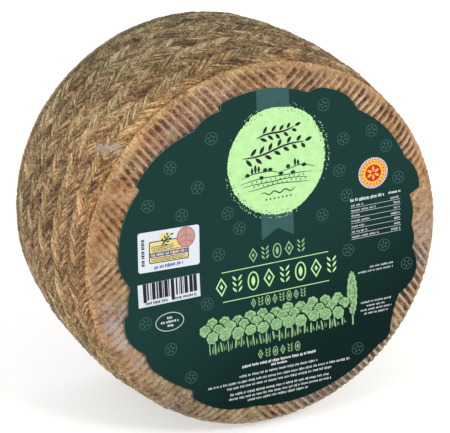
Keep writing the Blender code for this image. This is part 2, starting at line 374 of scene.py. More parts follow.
class HalfBand:
    """The random strands of one half band, worked out for every column."""

    def __init__(self, index, generator):
        self.over = index % 2 == 1
        jitter = generator.uniform(-STRAND_JITTER, STRAND_JITTER, STRANDS_AROUND)
        start = 0.5 * COLUMNS_PER_STRAND * (index % 2)
        edges = np.arange(STRANDS_AROUND) * COLUMNS_PER_STRAND + jitter + start
        for name in ("strand_crown", "blade_crown", "tilt", "sink", "tone", "strength", "bow"):
            setattr(self, name, np.zeros(SIDE_COLUMNS))
        for strand in range(STRANDS_AROUND):
            low = edges[strand]
            high = edges[(strand + 1) % STRANDS_AROUND]
            self.fill_strand(low, high if high > low else high + SIDE_COLUMNS, generator)
        self.bow = smooth_ring(self.bow, 17)
        self.sink = smooth_ring(self.sink, 2)

    def fill_strand(self, low, high, generator):
        """Cut one strand into blades of uneven width and note their heights and tones."""
        columns = np.arange(math.ceil(low), math.ceil(high))
        place = (columns - low) / (high - low)
        ring = columns % SIDE_COLUMNS
        self.strand_crown[ring] = 1.0 - np.abs(2.0 * place - 1.0) ** 3
        self.tilt[ring] = place - 0.5
        self.strength[ring] = generator.uniform(*(OVER_RELIEF if self.over else UNDER_RELIEF))
        self.bow[ring] = generator.uniform(-STRAND_BOW, STRAND_BOW)
        # Each strand's own random tone, with painted light on the over strands and painted shade on the
        # under ones
        strand_tone = generator.uniform(-STRAND_TONE, STRAND_TONE) + (OVER_PAINTED_LIGHT if self.over else -OVER_PAINTED_LIGHT)
        blades = int(generator.integers(*BLADE_COUNTS))
        widths = generator.uniform(*BLADE_WIDTHS, blades)
        cuts = np.concatenate(((0.0,), np.cumsum(widths) / widths.sum()))
        for blade in range(blades):
            inside = (place >= cuts[blade]) & (place < cuts[blade + 1])
            spot = (place[inside] - cuts[blade]) / (cuts[blade + 1] - cuts[blade])
            self.blade_crown[ring[inside]] = 1.0 - np.abs(2.0 * spot - 1.0) ** 2.2
            self.sink[ring[inside]] = generator.uniform(0.0, 1.0) ** 1.5
            self.tone[ring[inside]] = strand_tone + generator.uniform(-BLADE_TONE, BLADE_TONE)


def half_band_depth(band, share, settings):
    """Depth below the plain side at one share of the way from seam to crown."""
    rise = smooth_step(share / 0.3)
    fall = smooth_step((share - 0.68) / 0.32)
    strand = settings.strand_depth * (1.0 - band.strand_crown)
    strand = strand + 0.5 * settings.strand_depth * (0.5 + band.tilt)
    blade = settings.blade_depth * (1.0 - band.blade_crown + 0.8 * band.sink)
    relief = (strand + blade) * band.strength
    tuck = settings.seam_depth * (1.0 - rise)
    if not band.over:
        tuck = tuck + settings.under_depth * rise
    dip = settings.crown_depth * fall * (0.6 + 0.8 * (1.0 - band.strand_crown))
    return tuck + relief * (0.35 + 0.65 * rise) + dip


def plait_arrays(settings):
    """Depth, tone, bow and y shift of every row and column of the plait, and each row's share."""
    generator = np.random.default_rng(settings.seed)
    rows = HALF_BANDS * HALF_BAND_ROWS + 1
    depth, tone, bow, shift = np.zeros((4, rows, SIDE_COLUMNS))
    shares, counts = np.zeros((2, rows))
    for half in range(HALF_BANDS):
        band = HalfBand(half, generator)
        order = HALF_BAND_SHARES if half % 2 == 0 else HALF_BAND_SHARES[::-1]
        for step, share in enumerate(order):
            row = half * HALF_BAND_ROWS + step
            shares[row] = share
            counts[row] += 1.0
            ragged = generator.normal(0.0, settings.ragged_depth, SIDE_COLUMNS)
            depth[row] += half_band_depth(band, share, settings) + ragged
            tone[row] += band.tone
            bow[row] = band.bow * math.sin(math.pi * share)
    depth /= counts[:, None]
    tone /= counts[:, None]
    seams = [SEAM_WAVE * wave(SIDE_COLUMNS, SEAM_PERIOD, generator) for _ in range(HALF_BANDS + 1)]
    for half in range(HALF_BANDS):
        for step in range(HALF_BAND_ROWS + 1):
            share = step / HALF_BAND_ROWS
            shift[half * HALF_BAND_ROWS + step] = seams[half] * (1.0 - share) + seams[half + 1] * share
    return depth, tone, bow, shift, shares


def row_heights():
    """Each row's y from mid-height, before the seams wave."""
    start = PLAIT_MARGIN - HALF_HEIGHT
    heights = []
    for half in range(HALF_BANDS):
        order = HALF_BAND_SHARES if half % 2 == 0 else 1.0 - HALF_BAND_SHARES[::-1]
        heights.extend(start + (half + share) * PLAIT_PITCH / 2.0 for share in order[:-1])
    heights.append(start + PLAIT_BANDS * PLAIT_PITCH)
    return np.array(heights)


def add_plaited_side(settings):
    """Roll a grid into the plaited side, its columns running along the strands."""
    rows = HALF_BANDS * HALF_BAND_ROWS
    sheet, column, row = add_grid("rind", SIDE_COLUMNS, rows)
    depth, tone, bow, shift, shares = plait_arrays(settings)
    ring = column % SIDE_COLUMNS
    step = math.tau / SIDE_COLUMNS
    lean = STRAND_LEAN * shares[row] + bow[row, ring] * COLUMNS_PER_STRAND * step
    angle = step * column + lean
    y = row_heights()[row] + shift[row, ring]
    plain = wheel_points(angle, side_radius(y), y)
    edge = np.minimum(row, rows - row) / HALF_BAND_ROWS
    sunk = side_relief(plain, depth[row, ring], edge, settings)
    write_points(sheet.data, wheel_points(angle, side_radius(y) - sunk, y))
    write_shade(sheet.data, "sunk", sunk / FULL_RELIEF)
    write_shade(sheet.data, "tone", tone[row, ring])
    write_shade(sheet.data, "ridged", np.zeros(len(ring)))
    write_uv(sheet.data, side_strand_map(sheet.data, column, row))
    return sheet


def side_relief(plain, depth, edge, settings):
    """Wear the plait's depth down in places, and add crumbs and lumps, less under the bloom."""
    kept = (0.72 + 0.75 * grain(plain, 0.013, 2, 61.0)) * (0.65 + 0.35 * smooth_step(edge / 1.2))
    kept = np.clip(kept, 0.2, 1.15)
    crumbs = settings.crumb_depth * (1.25 - kept) * np.clip(0.5 + grain(plain, 0.0019, 3, 9.0), 0.0, 1.5)
    lumps = 0.00045 * (0.5 + grain(plain, 0.012, 3, 5.0))
    sunk = np.maximum(depth * kept + crumbs + lumps, 0.0)
    return sunk * (1.0 - 0.7 * np.clip(bloom_amount(plain), 0.0, 1.0))


def side_strand_map(mesh, column, row):
    """Lay the strand map along the strands, apart from half band to half band."""
    corners = face_corners(mesh)
    half = row[corners].min(axis=1) // HALF_BAND_ROWS
    across = column[corners] * (math.tau * WHEEL_RADIUS / SIDE_COLUMNS) / MILLIMETRE
    along = row[corners] * (1.45 * PLAIT_PITCH / 2.0 / HALF_BAND_ROWS) / MILLIMETRE
    along = along + 61.0 * half[:, None]
    across = across + 7.3 * half[:, None]
    return np.stack((across, along), axis=-1)


def face_depth(x, z, turn, y, ridge_place, settings):
    """Depth of the ridged print and the grain at points of a face or its corner, and how strongly its crests
    get a painted highlight.
    """
    quarter, across, along = ridge_place
    across = np.abs(across)
    front = y < 0.0
    points = np.stack((x, y, z), axis=-1)
    coarse = grain(points, 0.011, 2, 21.0)
    blotch = grain(points, 0.0042, 2, 57.0)
    fine = grain(points, 0.0019, 3, 33.0)
    wander = 0.0003 * grain(points, 0.013, 2, 41.0)
    phase = (across + wander) / (2.0 * LINE_PITCH)
    line = np.floor(phase + 0.5)
    uneven = np.sin(12.9898 * line + 4.1 * quarter)
    off_line = np.abs(2.0 * (phase - line))
    broad = between(x, z, BROAD, STRETCH_EASE) * front
    worn = WORN_AMOUNT * between(x, z, WORN, STRETCH_EASE) * front
    crisp = between(x, z, CRISP, STRETCH_EASE)
    rubbed = rubbed_share(x, z) * front
    fade = corner_fade(x, z, turn)
    meet = smooth_step((along - across - 0.001) / 0.006) * (1.0 - 0.85 * rubbed)
    strength = fade * (0.35 + 0.65 * meet) * (0.95 + 0.25 * coarse + 0.12 * uneven) * (1.0 - worn)
    strength = np.clip(strength * (1.0 - 0.6 * rubbed) * (1.0 + 0.35 * crisp), 0.0, 1.4)
    valley = settings.ridge_depth * smooth_step((off_line - 0.06 - 0.06 * uneven - 0.34 * broad) / 0.5)
    pits = 0.35 * valley * np.clip(1.4 * fine, 0.0, 1.0) * fade * (1.0 - 0.5 * worn)
    rough = 0.25 + 0.55 * (1.0 - fade) + 0.6 * (1.0 - meet) + 0.5 * worn + 0.35 * rubbed
    crumb = settings.grain_depth * rough * np.clip(0.4 + 0.9 * fine, 0.0, 1.4)
    lumps = 0.0004 * (0.5 + 0.5 * coarse) * smooth_step(turn / 0.4)
    lumps = lumps + 0.0006 * (0.5 + 0.5 * blotch) * (0.3 + 1.3 * worn)
    # Where the painted highlight lies: along the ridge tops, less on broad ones
    crest_highlight = (1.0 - smooth_step(off_line / 0.5)) * strength * (1.0 - 0.85 * broad)
    crest_highlight = crest_highlight * np.clip(0.55 + 0.9 * blotch + 0.9 * coarse, 0.0, 1.3)
    return np.maximum(valley * strength + pits + crumb + lumps, 0.0), crest_highlight


def between(x, z, stretch, ease):
    """How far points lie in a stretch between two angles in degrees, easing at both ends."""
    low, high = stretch
    angle = np.degrees(np.arctan2(z, x)) % 360.0
    return smooth_step((angle - low) / ease) * (1.0 - smooth_step((angle - high) / ease))


def corner_fade(x, z, turn):
    """How strong the ridges still are as they run down the corner."""
    start = 0.54 - 0.24 * between(x, z, CRUMBLY, CORNER_EASE) + 0.16 * between(x, z, CRISP, CORNER_EASE)
    return 1.0 - 0.94 * smooth_step((turn - start) / 0.55)


def rubbed_share(x, z):
    """Where the ridges are rubbed down to bare grain."""
    total = np.zeros(len(x))
    for degrees, half_length in RUBBED_SPOTS:
        turn = turn_from(np.arctan2(z, x), degrees)
        total = np.maximum(total, np.exp(-((turn * FACE_RADIUS / half_length) ** 4)))
    return total


def turn_from(angle, degrees):
    """The shortest turn from a direction given in degrees to each angle."""
    return (angle - math.radians(degrees) + math.pi) % math.tau - math.pi


def finish_face_sheet(sheet, x, z, turn, side, ridge_place, settings):
    """Sink a sheet of the face or corner by its relief and write its shades."""
    reach = SIDE_END + CORNER_RADIUS * np.cos(turn)
    depth, crest_highlight = face_depth(x, z, turn, side * reach, ridge_place, settings)
    radius = np.hypot(x, z) - depth * np.sin(turn)
    y = side * (reach - depth * np.cos(turn))
    write_points(sheet.data, wheel_points(np.arctan2(z, x), radius, y))
    write_shade(sheet.data, "sunk", depth / FULL_RELIEF)
    # The crests' painted highlight is stored under tone on the faces
    write_shade(sheet.data, "tone", crest_highlight)
    write_shade(sheet.data, "ridged", 1.0 - 0.65 * smooth_step((turn - 0.6) / 0.65))


def add_face_quarter(index, side, covered, settings):
    """Shape a grid into one quarter of a face, its columns lying along the ridges."""
    rows = COVERED_FACE_ROWS if covered else OPEN_FACE_ROWS
    sheet, column, row = add_grid("face_quarter", QUARTER_STEPS, rows)
    across = (column - QUARTER_STEPS // 2) * LINE_PITCH / STEPS_PER_LINE
    start = np.abs(across)
    end = np.sqrt(np.maximum(FACE_RADIUS ** 2 - across ** 2, start ** 2))
    if covered:
        inner = np.sqrt(np.maximum(COVERED_RADIUS ** 2 - across ** 2, start ** 2))
        share = np.maximum(row - 1, 0) / (rows - 1)
        along = np.where(row == 0, start, inner + share * (end - inner))
    else:
        along = start + (row / rows) * (end - start)
    middle = RIDGE_TURN + (index + 0.5) * QUARTER
    x = along * math.cos(middle) - across * math.sin(middle)
    z = along * math.sin(middle) + across * math.cos(middle)
    finish_face_sheet(sheet, x, z, np.zeros(len(x)), side, (index, across, along), settings)
    corners = face_corners(sheet.data)
    place = np.stack((across[corners], along[corners] + 0.3 * (index + 1)), axis=-1)
    write_uv(sheet.data, place / MILLIMETRE)
    return sheet


def add_corner(side, last_turn, settings):
    """Roll a grid into the corner between a face and the plain edge of the side."""
    rows = FRONT_CORNER_ROWS if side < 0.0 else BACK_CORNER_ROWS
    sheet, column, row = add_grid("corner", 4 * QUARTER_STEPS, rows)
    quarter = np.minimum(column // QUARTER_STEPS, 3)
    off = ridge_offset(column, quarter)
    angle = RIDGE_TURN + (quarter + 0.5) * QUARTER + off
    turn = last_turn * row / rows
    radius = FACE_RADIUS + CORNER_RADIUS * np.sin(turn)
    ridge_place = (quarter, radius * np.sin(off), radius * np.cos(off))
    x = radius * np.cos(angle)
    z = radius * np.sin(angle)
    finish_face_sheet(sheet, x, z, turn, side, ridge_place, settings)
    corners = face_corners(sheet.data)
    own = np.minimum(column[corners].min(axis=1) // QUARTER_STEPS, 3)[:, None]
    own_off = ridge_offset(column[corners], own)
    run = (FACE_RADIUS + CORNER_RADIUS * turn)[corners]
    place = np.stack((run * np.sin(own_off), run * np.cos(own_off) + 0.3 * (own + 1)), axis=-1)
    write_uv(sheet.data, place / MILLIMETRE)
    return sheet


def ridge_offset(column, quarter):
    """The angle between a column of the corner and its quarter's middle line."""
    across = (column - quarter * QUARTER_STEPS - QUARTER_STEPS // 2) * LINE_PITCH / STEPS_PER_LINE
    return np.arcsin(np.clip(across / FACE_RADIUS, -1.0, 1.0))


def bridge_gap(rind, front):
    """Bridge the open ring between a corner and the plait."""
    take(rind)
    bpy.ops.object.mode_set(mode="EDIT")
    mesh = bmesh.from_edit_mesh(rind.data)
    for face in mesh.faces:
        face.select = False
    for edge in mesh.edges:
        middle = (edge.verts[0].co.y + edge.verts[1].co.y) / 2.0
        edge.select = len(edge.link_faces) == 1 and (middle < MID_Y) == front
    bmesh.update_edit_mesh(rind.data)
    bpy.ops.mesh.bridge_edge_loops()
    bpy.ops.object.mode_set(mode="OBJECT")


def map_bridges(mesh):
    """Give the bridged faces a strand map from their places."""
    values = np.empty((len(mesh.loops), 2), np.float32)
    mesh.uv_layers["strands"].uv.foreach_get("vector", values.ravel())
    points = read_points(mesh)[corner_vertices(mesh)]
    angle = np.arctan2(points[:, 2] - AXIS_HEIGHT, points[:, 0])
    empty = (values == 0.0).all(axis=1)
    values[empty, 0] = (angle * WHEEL_RADIUS / MILLIMETRE)[empty]
    values[empty, 1] = ((points[:, 1] - MID_Y) / MILLIMETRE)[empty]
    write_uv(mesh, values)


def press_flat_spot(mesh):
    """Press the lowest points level with the floor."""
    points = read_points(mesh)
    points[:, 2] = np.maximum(points[:, 2], 0.0)
    write_points(mesh, points)


def make_rind(settings):
    """Model the whole rind as one closed piece."""
    side = add_plaited_side(settings)
    pieces = [side]
    for end, last_turn in ((-1.0, FRONT_CORNER_TURN), (1.0, BACK_CORNER_TURN)):
        pieces.append(add_corner(end, last_turn, settings))
        pieces.extend(add_face_quarter(index, end, end < 0.0, settings) for index in range(4))
    deselect_all()
    for piece in pieces:
        piece.select_set(True)
    bpy.context.view_layer.objects.active = side
    bpy.ops.object.join()
    merge_and_turn_out(side)
    bridge_gap(side, True)
    bridge_gap(side, False)
    map_bridges(side.data)
    press_flat_spot(side.data)
    write_bloom(side.data)
    merge_and_turn_out(side)
    side.data.shade_smooth()
    return side


# The label and the sticker

# The label's lobed edge: from and to angle in degrees, radius at both as shares
# of the wheel's radius, and how far the edge swells between them
LABEL_LOBES = (
    (12.0, 25.0, 0.858, 0.839, 0.018),
    (25.0, 52.0, 0.839, 0.822, 0.012),
    (52.0, 66.0, 0.822, 0.858, 0.019),
    (66.0, 73.0, 0.858, 0.818, 0.012),
    (73.0, 106.0, 0.818, 0.834, 0.014),
    (106.5, 118.5, 0.801, 0.784, 0.012),
    (118.5, 146.0, 0.784, 0.832, 0.012),
    (146.5, 168.0, 0.801, 0.812, 0.010),
    (168.0, 184.0, 0.812, 0.748, 0.018),
    (184.0, 194.0, 0.748, 0.788, 0.004),
    (194.5, 211.0, 0.812, 0.805, 0.030),
    (211.0, 217.0, 0.805, 0.829, 0.004),
    (217.0, 236.5, 0.829, 0.799, 0.002),
    (237.0, 262.0, 0.835, 0.831, 0.019),
    (262.0, 313.0, 0.831, 0.866, 0.004),
    (313.0, 321.0, 0.866, 0.850, 0.022),
    (321.0, 332.0, 0.850, 0.805, -0.010),
    (332.0, 350.0, 0.805, 0.805, 0.050),
    (350.0, 359.0, 0.805, 0.790, 0.010),
    (359.0, 371.0, 0.790, 0.795, 0.011),
)
LABEL_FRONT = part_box("face_label")[0].y
STICKER_FRONT = LABEL_FRONT - (STICKER_HIGH.y - STICKER_LOW.y)
LABEL_SEED = 21
STICKER_SEED = 33
LABEL_ROUNDING = 0.5
LABEL_SPACING = 1.0
LOBE_STEP = 0.25
FINE_SPACING = 0.1

# Places and sizes on the label, in millimetres right of and above the wheel's axis
STICKER_CENTRE = (-50.9, 10.8)
STICKER_HALF = (15.35, 9.85)
STICKER_TILT = math.radians(-2.0)
STICKER_CORNER = 1.2
DISC_CENTRE = (5.7, 43.7)
DISC_HALF = (25.0, 26.4)
DISC_POINTS = 480
RIBBON_SIDES = (-3.6, 12.9)
RIBBON_TIP = 5.7
RIBBON_NOTCH = 10.5
SEAL_CENTRE = (55.2, 28.6)
SEAL_RIM_RADIUS = 7.7
SEAL_TEETH_RADIUS = 7.2
SEAL_BAND_RADIUS = 6.75
SEAL_FIELD_RADIUS = 6.5
SEAL_DOTS_RADIUS = 5.6
SEAL_MIDDLE_RADIUS = 4.2
SEAL_TEETH = 36
SEAL_DOTS = 20
SEAL_PETALS = 6
OVAL_CENTRE = (-52.3, -25.5)
# Stretches where the disc's edge is brushed roughly: middle and half width in degrees
ROUGH_SPANS = ((15.0, 48.0), (225.0, 42.0), (278.0, 16.0), (120.0, 14.0), (68.0, 12.0))
# Flecks of ink along the disc's edge: number, nearest and farthest as shares of the disc's
# half sizes, and width
DISC_FLECKS = (150, 1.045, 1.075, 0.5)
HAZE_FLECKS = (110, 1.02, 1.09, 0.9)
GAP_FLECKS = (130, 0.925, 0.97, 0.5)
# Steps of a branch's stem, and of the other wavy lines
STEM_STEPS = 12
LINE_STEPS = 24
# The disc's branches: left, right, level, rise, bend, number and length of leaves
DISC_BRANCHES = (
    (-10.0, 9.0, 12.6, 2.8, 0.6, 9, 4.3),
    (-17.5, 14.0, 4.0, 3.2, -0.9, 13, 4.9),
)
# The disc's fields: left, right, level and rise of each line from the disc's centre
HILL_LINES = (
    (-18.5, 1.5, -6.2, 2.2),
    (2.4, 19.0, -5.6, 1.6),
    (-19.5, 18.0, -8.4, 1.2),
    (-18.0, 15.5, -10.4, 1.0),
    (-15.5, 16.0, -12.4, 0.9),
)
# The fields' slim trees, with their heights, and bushes, from the disc's centre
DISC_TREES = (
    (-13.0, -4.7, 3.6), (-11.3, -4.3, 4.4), (-9.6, -4.1, 3.3), (9.0, -4.0, 4.0), (10.6, -4.0, 3.0),
)
DISC_BUSHES = (
    (-15.4, -4.6), (-6.4, -3.4), (-3.8, -3.6), (5.4, -3.6), (13.6, -4.2), (-8.4, -6.9), (1.6, -6.4),
    (7.8, -7.0),
)
# Rows of ornaments: middle, height above the axis, pitch, half width, half height, width
# of the line, and number of ornaments
LARGE_ORNAMENTS = (3.3, -13.7, 8.2, 2.9, 4.8, 0.66, 8)
SMALL_ORNAMENTS = (
    (3.9, -0.8, 6.2, 2.3, 3.7, 0.55, 5),
    (3.6, -24.9, 3.7, 1.35, 2.5, 0.42, 8),
    (2.9, -51.9, 3.9, 1.4, 2.5, 0.4, 6),
)
# The two rules round the large ornaments: left, bottom, right, top
RULES = ((-25.0, -6.8, 30.4, -6.4), (-25.0, -21.7, 30.4, -21.3))
# Width of a tick of fine print, and the gap after it
BOLD_TICK = (0.38, 0.24)
FINE_TICK = (0.24, 0.30)
# What a tick's width, top and foot are drawn from, as shares, and the gap between words
TICK_WIDTHS = (1.0, 1.0, 1.5)
TICK_TOPS = (0.34, 0.34, 0.5)
TICK_FEET = (0.34, 0.34, 0.34, 0.5)
WORD_GAP = 0.55
# Rows of fine print: left, right, height above the axis, height of the row, bold or not
WHITE_ROWS = (
    (-16.6, 22.6, -56.6, 1.5, True),
    (-1.6, 6.6, -58.6, 1.4, True),
    (-18.2, 22.6, -61.4, 1.3, False),
    (-34.7, 39.6, -64.2, 1.3, False),
    (-25.0, 30.7, -66.6, 1.3, False),
    (-23.4, 28.3, -69.9, 1.3, False),
    (-24.2, 29.9, -72.2, 1.3, False),
    (-14.5, 17.0, -74.4, 1.3, False),
    (52.3, 64.6, -18.9, 1.1, False),
    (46.0, 64.6, -20.9, 1.1, False),
    (47.0, 63.4, -36.8, 1.1, False),
    (50.0, 59.4, -38.8, 1.1, False),
    (46.8, 63.4, -40.8, 1.1, False),
    (48.6, 61.5, -42.8, 1.1, False),
    (42.8, 60.6, 16.7, 1.7, True),
    (63.0, 69.2, 16.9, 1.4, True),
)
# The ruled table: heights of its rows, from where to where its rules run, where the
# words of both columns start, and where those of the second end
TABLE_ROWS = (14.1, 11.5, 8.9, 6.2, 3.5, 0.8, -1.9)
TABLE_SIDES = (42.8, 69.4)
FIRST_COLUMN = 43.2
SECOND_COLUMN = 65.8
SECOND_COLUMN_END = 68.8
LONGER_WORD = 1.6
# Rows of print in the oval frame: height above its middle, half length
OVAL_ROWS = ((2.0, 1.2), (0.0, 4.5), (-2.0, 1.2))
# The grove's rows of trees, from the back: name, left end, number and height of each
GROVE_ROWS = (
    ("back", -31.3, 11, -31.6),
    ("middle", -34.6, 12, -34.9),
    ("front", -31.3, 11, -38.4),
)
CROWN_PITCH = 6.6
CROWN_HALF = 3.05
CYPRESS_PLACE = (42.4, -30.6)
TRUNK_FOOT = -46.2
GRASS_TIP = -43.0
# Faint sprigs scattered over the label, clear of the other print
SPRIG_PLACES = (
    (-48.0, 50.0), (-27.0, 60.5), (-35.0, 38.0), (-60.0, 33.5), (-20.5, 22.5), (-43.5, 26.0), (-26.0, 3.0),
    (-15.0, 14.0), (-64.5, -24.0), (-33.0, -20.5), (-52.5, -39.5), (-43.0, -56.0),
    (28.0, 12.5), (41.0, 20.0), (37.5, 33.0), (40.0, 48.5), (55.0, 50.0), (30.5, 67.0), (62.5, 41.0),
    (41.0, -8.0), (60.0, -9.0), (72.0, -21.0), (68.5, 24.0), (44.5, -60.0),
)
SPRIG_RADIUS = 3.1
SPRIG_LEAVES = 5
# The white field and the bars on it, which are longer at both ends and in the middle
BAR_FIELD = (-67.3, -15.8, -36.2, -4.3)
BARS_SIDES = (-64.8, -37.6)
BARS_MIDDLE = -51.0
BARS_TOP = -4.35
BARS_FOOT = -12.7
LONG_BARS_FOOT = -13.6
BAR_WIDTHS = (0.35, 0.5, 0.8, 1.2, 1.7)
BAR_GAPS = (0.3, 0.35, 0.5, 0.8)
BARS_WORDS = ((-63.8, -52.2), (-50.4, -38.6))
BARS_WORDS_HEIGHT = -14.3

# Places on the sticker, from its middle: rounded bars as middle, half sizes and corner,
# bars as left, bottom, right and top, rows of print as left, right, height and row height
FIELD = (0.0, -0.5, 9.9, 5.4, 0.9)
FIELD_INSIDE = (0.0, -0.5, 9.5, 5.0, 0.6)
FIELD_HAZE = (-1.6, 6.2, 3.0, 2.2, 1.4)
STRIPE = (-9.4, -2.9, 9.4, -0.7)
STRIPE_WORDS = (-8.8, 8.8, -1.8, 1.5)
WORDING = (-7.4, 6.6, -7.9, 1.9)
WORDING_TILT = 0.04
# The ticks up the left side: left, right, from and to height, heights and gaps drawn from
TICKS_SIDES = (-13.7, -12.2)
TICKS_RANGE = (-6.6, 6.4)
TICK_HEIGHTS = (0.5, 0.8)
TICK_GAPS = (0.35, 0.35, 0.9)
# Heights of the wavy lines, and how long they are under and over the stripe
STICKER_WAVES = (-3.5, -4.2, -4.9, -0.1, 0.7, 1.5, 2.3)
WAVES_LEFT = -8.9
LOW_WAVE_LENGTH = 17.7
HIGH_WAVE_LENGTH = 11.5
# The pink disc, its upright line, and the heights and stretches of its curved lines
PINK_DISC = (8.6, 4.7, 4.5, 5.0)
PINK_UPRIGHT = (8.5, 0.6, 8.75, 9.0)
PINK_HEIGHTS = (1.0, 3.8)
PINK_STRETCHES = ((22.0, 84.0), (98.0, 158.0))


def label_edge():
    """The label's lobed outline, in millimetres, counter-clockwise from the front."""
    points = []
    for start, end, first, last, swell in LABEL_LOBES:
        steps = max(2, round((end - start) / LOBE_STEP))
        for index in range(steps):
            share = index / steps
            reach = first + share * (last - first) + swell * math.sin(math.pi * share)
            reach = reach * WHEEL_RADIUS / MILLIMETRE
            points.append(around(0.0, 0.0, reach, reach, math.radians(start + share * (end - start))))
    return soften(points, LABEL_ROUNDING, LABEL_SPACING)


def soften(points, rounding, spacing):
    """Space a closed outline evenly and round its corners."""
    closed = np.array(points + points[:1])
    steps = np.hypot(*np.diff(closed, axis=0).T)
    run = np.concatenate(((0.0,), np.cumsum(steps)))
    count = round(run[-1] / FINE_SPACING)
    places = np.arange(count) * run[-1] / count
    line = np.stack([np.interp(places, run, closed[:, axis]) for axis in (0, 1)], axis=-1)
    window = 2 * round(rounding / FINE_SPACING) + 1
    kernel = np.ones(window) / window
    for _ in range(2):
        padded = np.concatenate((line[-(window // 2):], line, line[:window // 2]))
        line = np.stack([np.convolve(padded[:, axis], kernel, "valid") for axis in (0, 1)], axis=-1)
    return [tuple(point) for point in line[::round(spacing / FINE_SPACING)]]


def around(x, z, half_width, half_height, turn):
    """The point of an oval at an angle."""
    return (x + half_width * math.cos(turn), z + half_height * math.sin(turn))


def turns(count):
    """Angles spread evenly over a full turn."""
    return [math.tau * index / count for index in range(count)]


def oval(x, z, half_width, half_height, count=32):
    """An oval outline."""
    return [around(x, z, half_width, half_height, turn) for turn in turns(count)]


def ring(x, z, half_width, half_height, width, count=32):
    """An open oval: an outer and an inner outline."""
    inner = oval(x, z, half_width - width, half_height - width, count)
    return [oval(x, z, half_width, half_height, count), inner]


def bar(left, bottom, right, top):
    """A rectangle."""
    return [(left, bottom), (right, bottom), (right, top), (left, top)]


def lozenge(x, z, half_width, half_height):
    """A lozenge standing on its point."""
    return [(x + half_width, z), (x, z + half_height), (x - half_width, z), (x, z - half_height)]


def open_lozenge(x, z, half_width, half_height, width):
    """A lozenge frame: an outer and an inner outline."""
    slope = math.hypot(half_width, half_height)
    inner_width = half_width - width * slope / half_height
    inner_height = half_height - width * slope / half_width
    return [lozenge(x, z, half_width, half_height), lozenge(x, z, inner_width, inner_height)]


def turned(outline, x, z, angle):
    """An outline turned about a point."""
    cosine = math.cos(angle)
    sine = math.sin(angle)
    rows = [(a - x, b - z) for a, b in outline]
    return [(x + a * cosine - b * sine, z + a * sine + b * cosine) for a, b in rows]


def leaf(x, z, length, width, angle, count=7):
    """A pointed leaf from its stalk at a point, along an angle."""
    upper = []
    for index in range(count + 1):
        share = index / count
        upper.append((x + length * share, z + 0.5 * width * math.sin(math.pi * share) ** 0.8))
    lower = [(a, 2.0 * z - b) for a, b in reversed(upper[1:-1])]
    return turned(upper + lower, x, z, angle)


def stroke(points, width, tip=1.0):
    """A line of a width along points, narrowing to a share of it at both ends."""
    left = []
    right = []
    last = len(points) - 1
    for index, (x, z) in enumerate(points):
        before = points[max(index - 1, 0)]
        after = points[min(index + 1, last)]
        run = math.dist(before, after)
        normal = ((before[1] - after[1]) / run, (after[0] - before[0]) / run)
        share = math.sin(math.pi * index / last) ** 0.5
        half = 0.5 * width * (tip + (1.0 - tip) * share)
        left.append((x + normal[0] * half, z + normal[1] * half))
        right.append((x - normal[0] * half, z - normal[1] * half))
    return right + left[::-1]


def arc(x, z, radius_x, radius_z, start, end, count=16):
    """Points along part of an oval, from one angle to another in degrees."""
    steps = [math.radians(start + (end - start) * index / count) for index in range(count + 1)]
    return [around(x, z, radius_x, radius_z, turn) for turn in steps]


def printed(name, outlines, ground, low, high, material):
    """Fill outlines given in millimetres as thin plates proud of the plane they lie on."""
    curve = bpy.data.curves.new(name, "CURVE")
    curve.dimensions = "2D"
    curve.fill_mode = "BOTH"
    curve.extrude = (high - low) / 2.0
    for outline in outlines:
        spline = curve.splines.new("POLY")
        spline.points.add(len(outline) - 1)
        spline.use_cyclic_u = True
        for point, (x, z) in zip(spline.points, outline):
            point.co = (x * MILLIMETRE, z * MILLIMETRE, 0.0, 1.0)
    drawing = bpy.data.objects.new(name, curve)
    bpy.context.scene.collection.objects.link(drawing)
    take(drawing)
    bpy.ops.object.convert(target="MESH")
    piece = bpy.context.active_object
    middle = ground - (low + high) / 2.0
    stand = Matrix.Translation((0.0, middle, AXIS_HEIGHT)) @ Matrix.Rotation(math.pi / 2.0, 4, "X")
    piece.data.transform(stand)
    merge_and_turn_out(piece)
    piece.data.materials.append(material)
    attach(piece, "root")
    return piece


def print_layers(start, layers, ground, inks, settings):
    """Print layers on a plane, each given as its name, outlines, level and ink."""
    for name, outlines, level, ink in layers:
        printed(start + name, outlines, ground, -0.5 * settings.ink_height, level * settings.ink_height,
                inks[ink])


def ribbon_outline():
    """The ribbon from the label's top edge down to its swallowtail."""
    left, right = RIBBON_SIDES
    middle = (left + right) / 2.0
    top = [point for point in label_edge() if left < point[0] < right and point[1] > 0.0]
    top = [(x, z - 0.25) for x, z in sorted(top)]
    top = [(left, top[0][1])] + top + [(right, top[-1][1])]
    return [(left, RIBBON_TIP), (middle, RIBBON_NOTCH), (right, RIBBON_TIP)] + top[::-1]


def rough_share(turn):
    """How roughly the disc's edge is brushed at an angle in degrees, 0 to 1."""
    share = 0.12
    for middle, half in ROUGH_SPANS:
        away = abs((turn - middle + 180.0) % 360.0 - 180.0)
        share = max(share, 1.0 - 0.6 * away / half if away < half else 0.0)
    return share


def disc_outlines(generator):
    """The light disc with its dry, ragged edge and the loose flecks round it."""
    uneven = 0.4 * wave(DISC_POINTS, 22, generator)
    outline = []
    for index in range(DISC_POINTS):
        degrees = 360.0 * index / DISC_POINTS
        spike = generator.uniform(-1.0, 1.0) * abs(generator.uniform(-1.0, 1.0))
        reach = uneven[index] + (0.22 + 0.85 * rough_share(degrees)) * spike
        halves = (DISC_HALF[0] + reach, DISC_HALF[1] + reach)
        outline.append(around(*DISC_CENTRE, *halves, math.radians(degrees)))
    return [outline] + flecks(generator, *DISC_FLECKS)


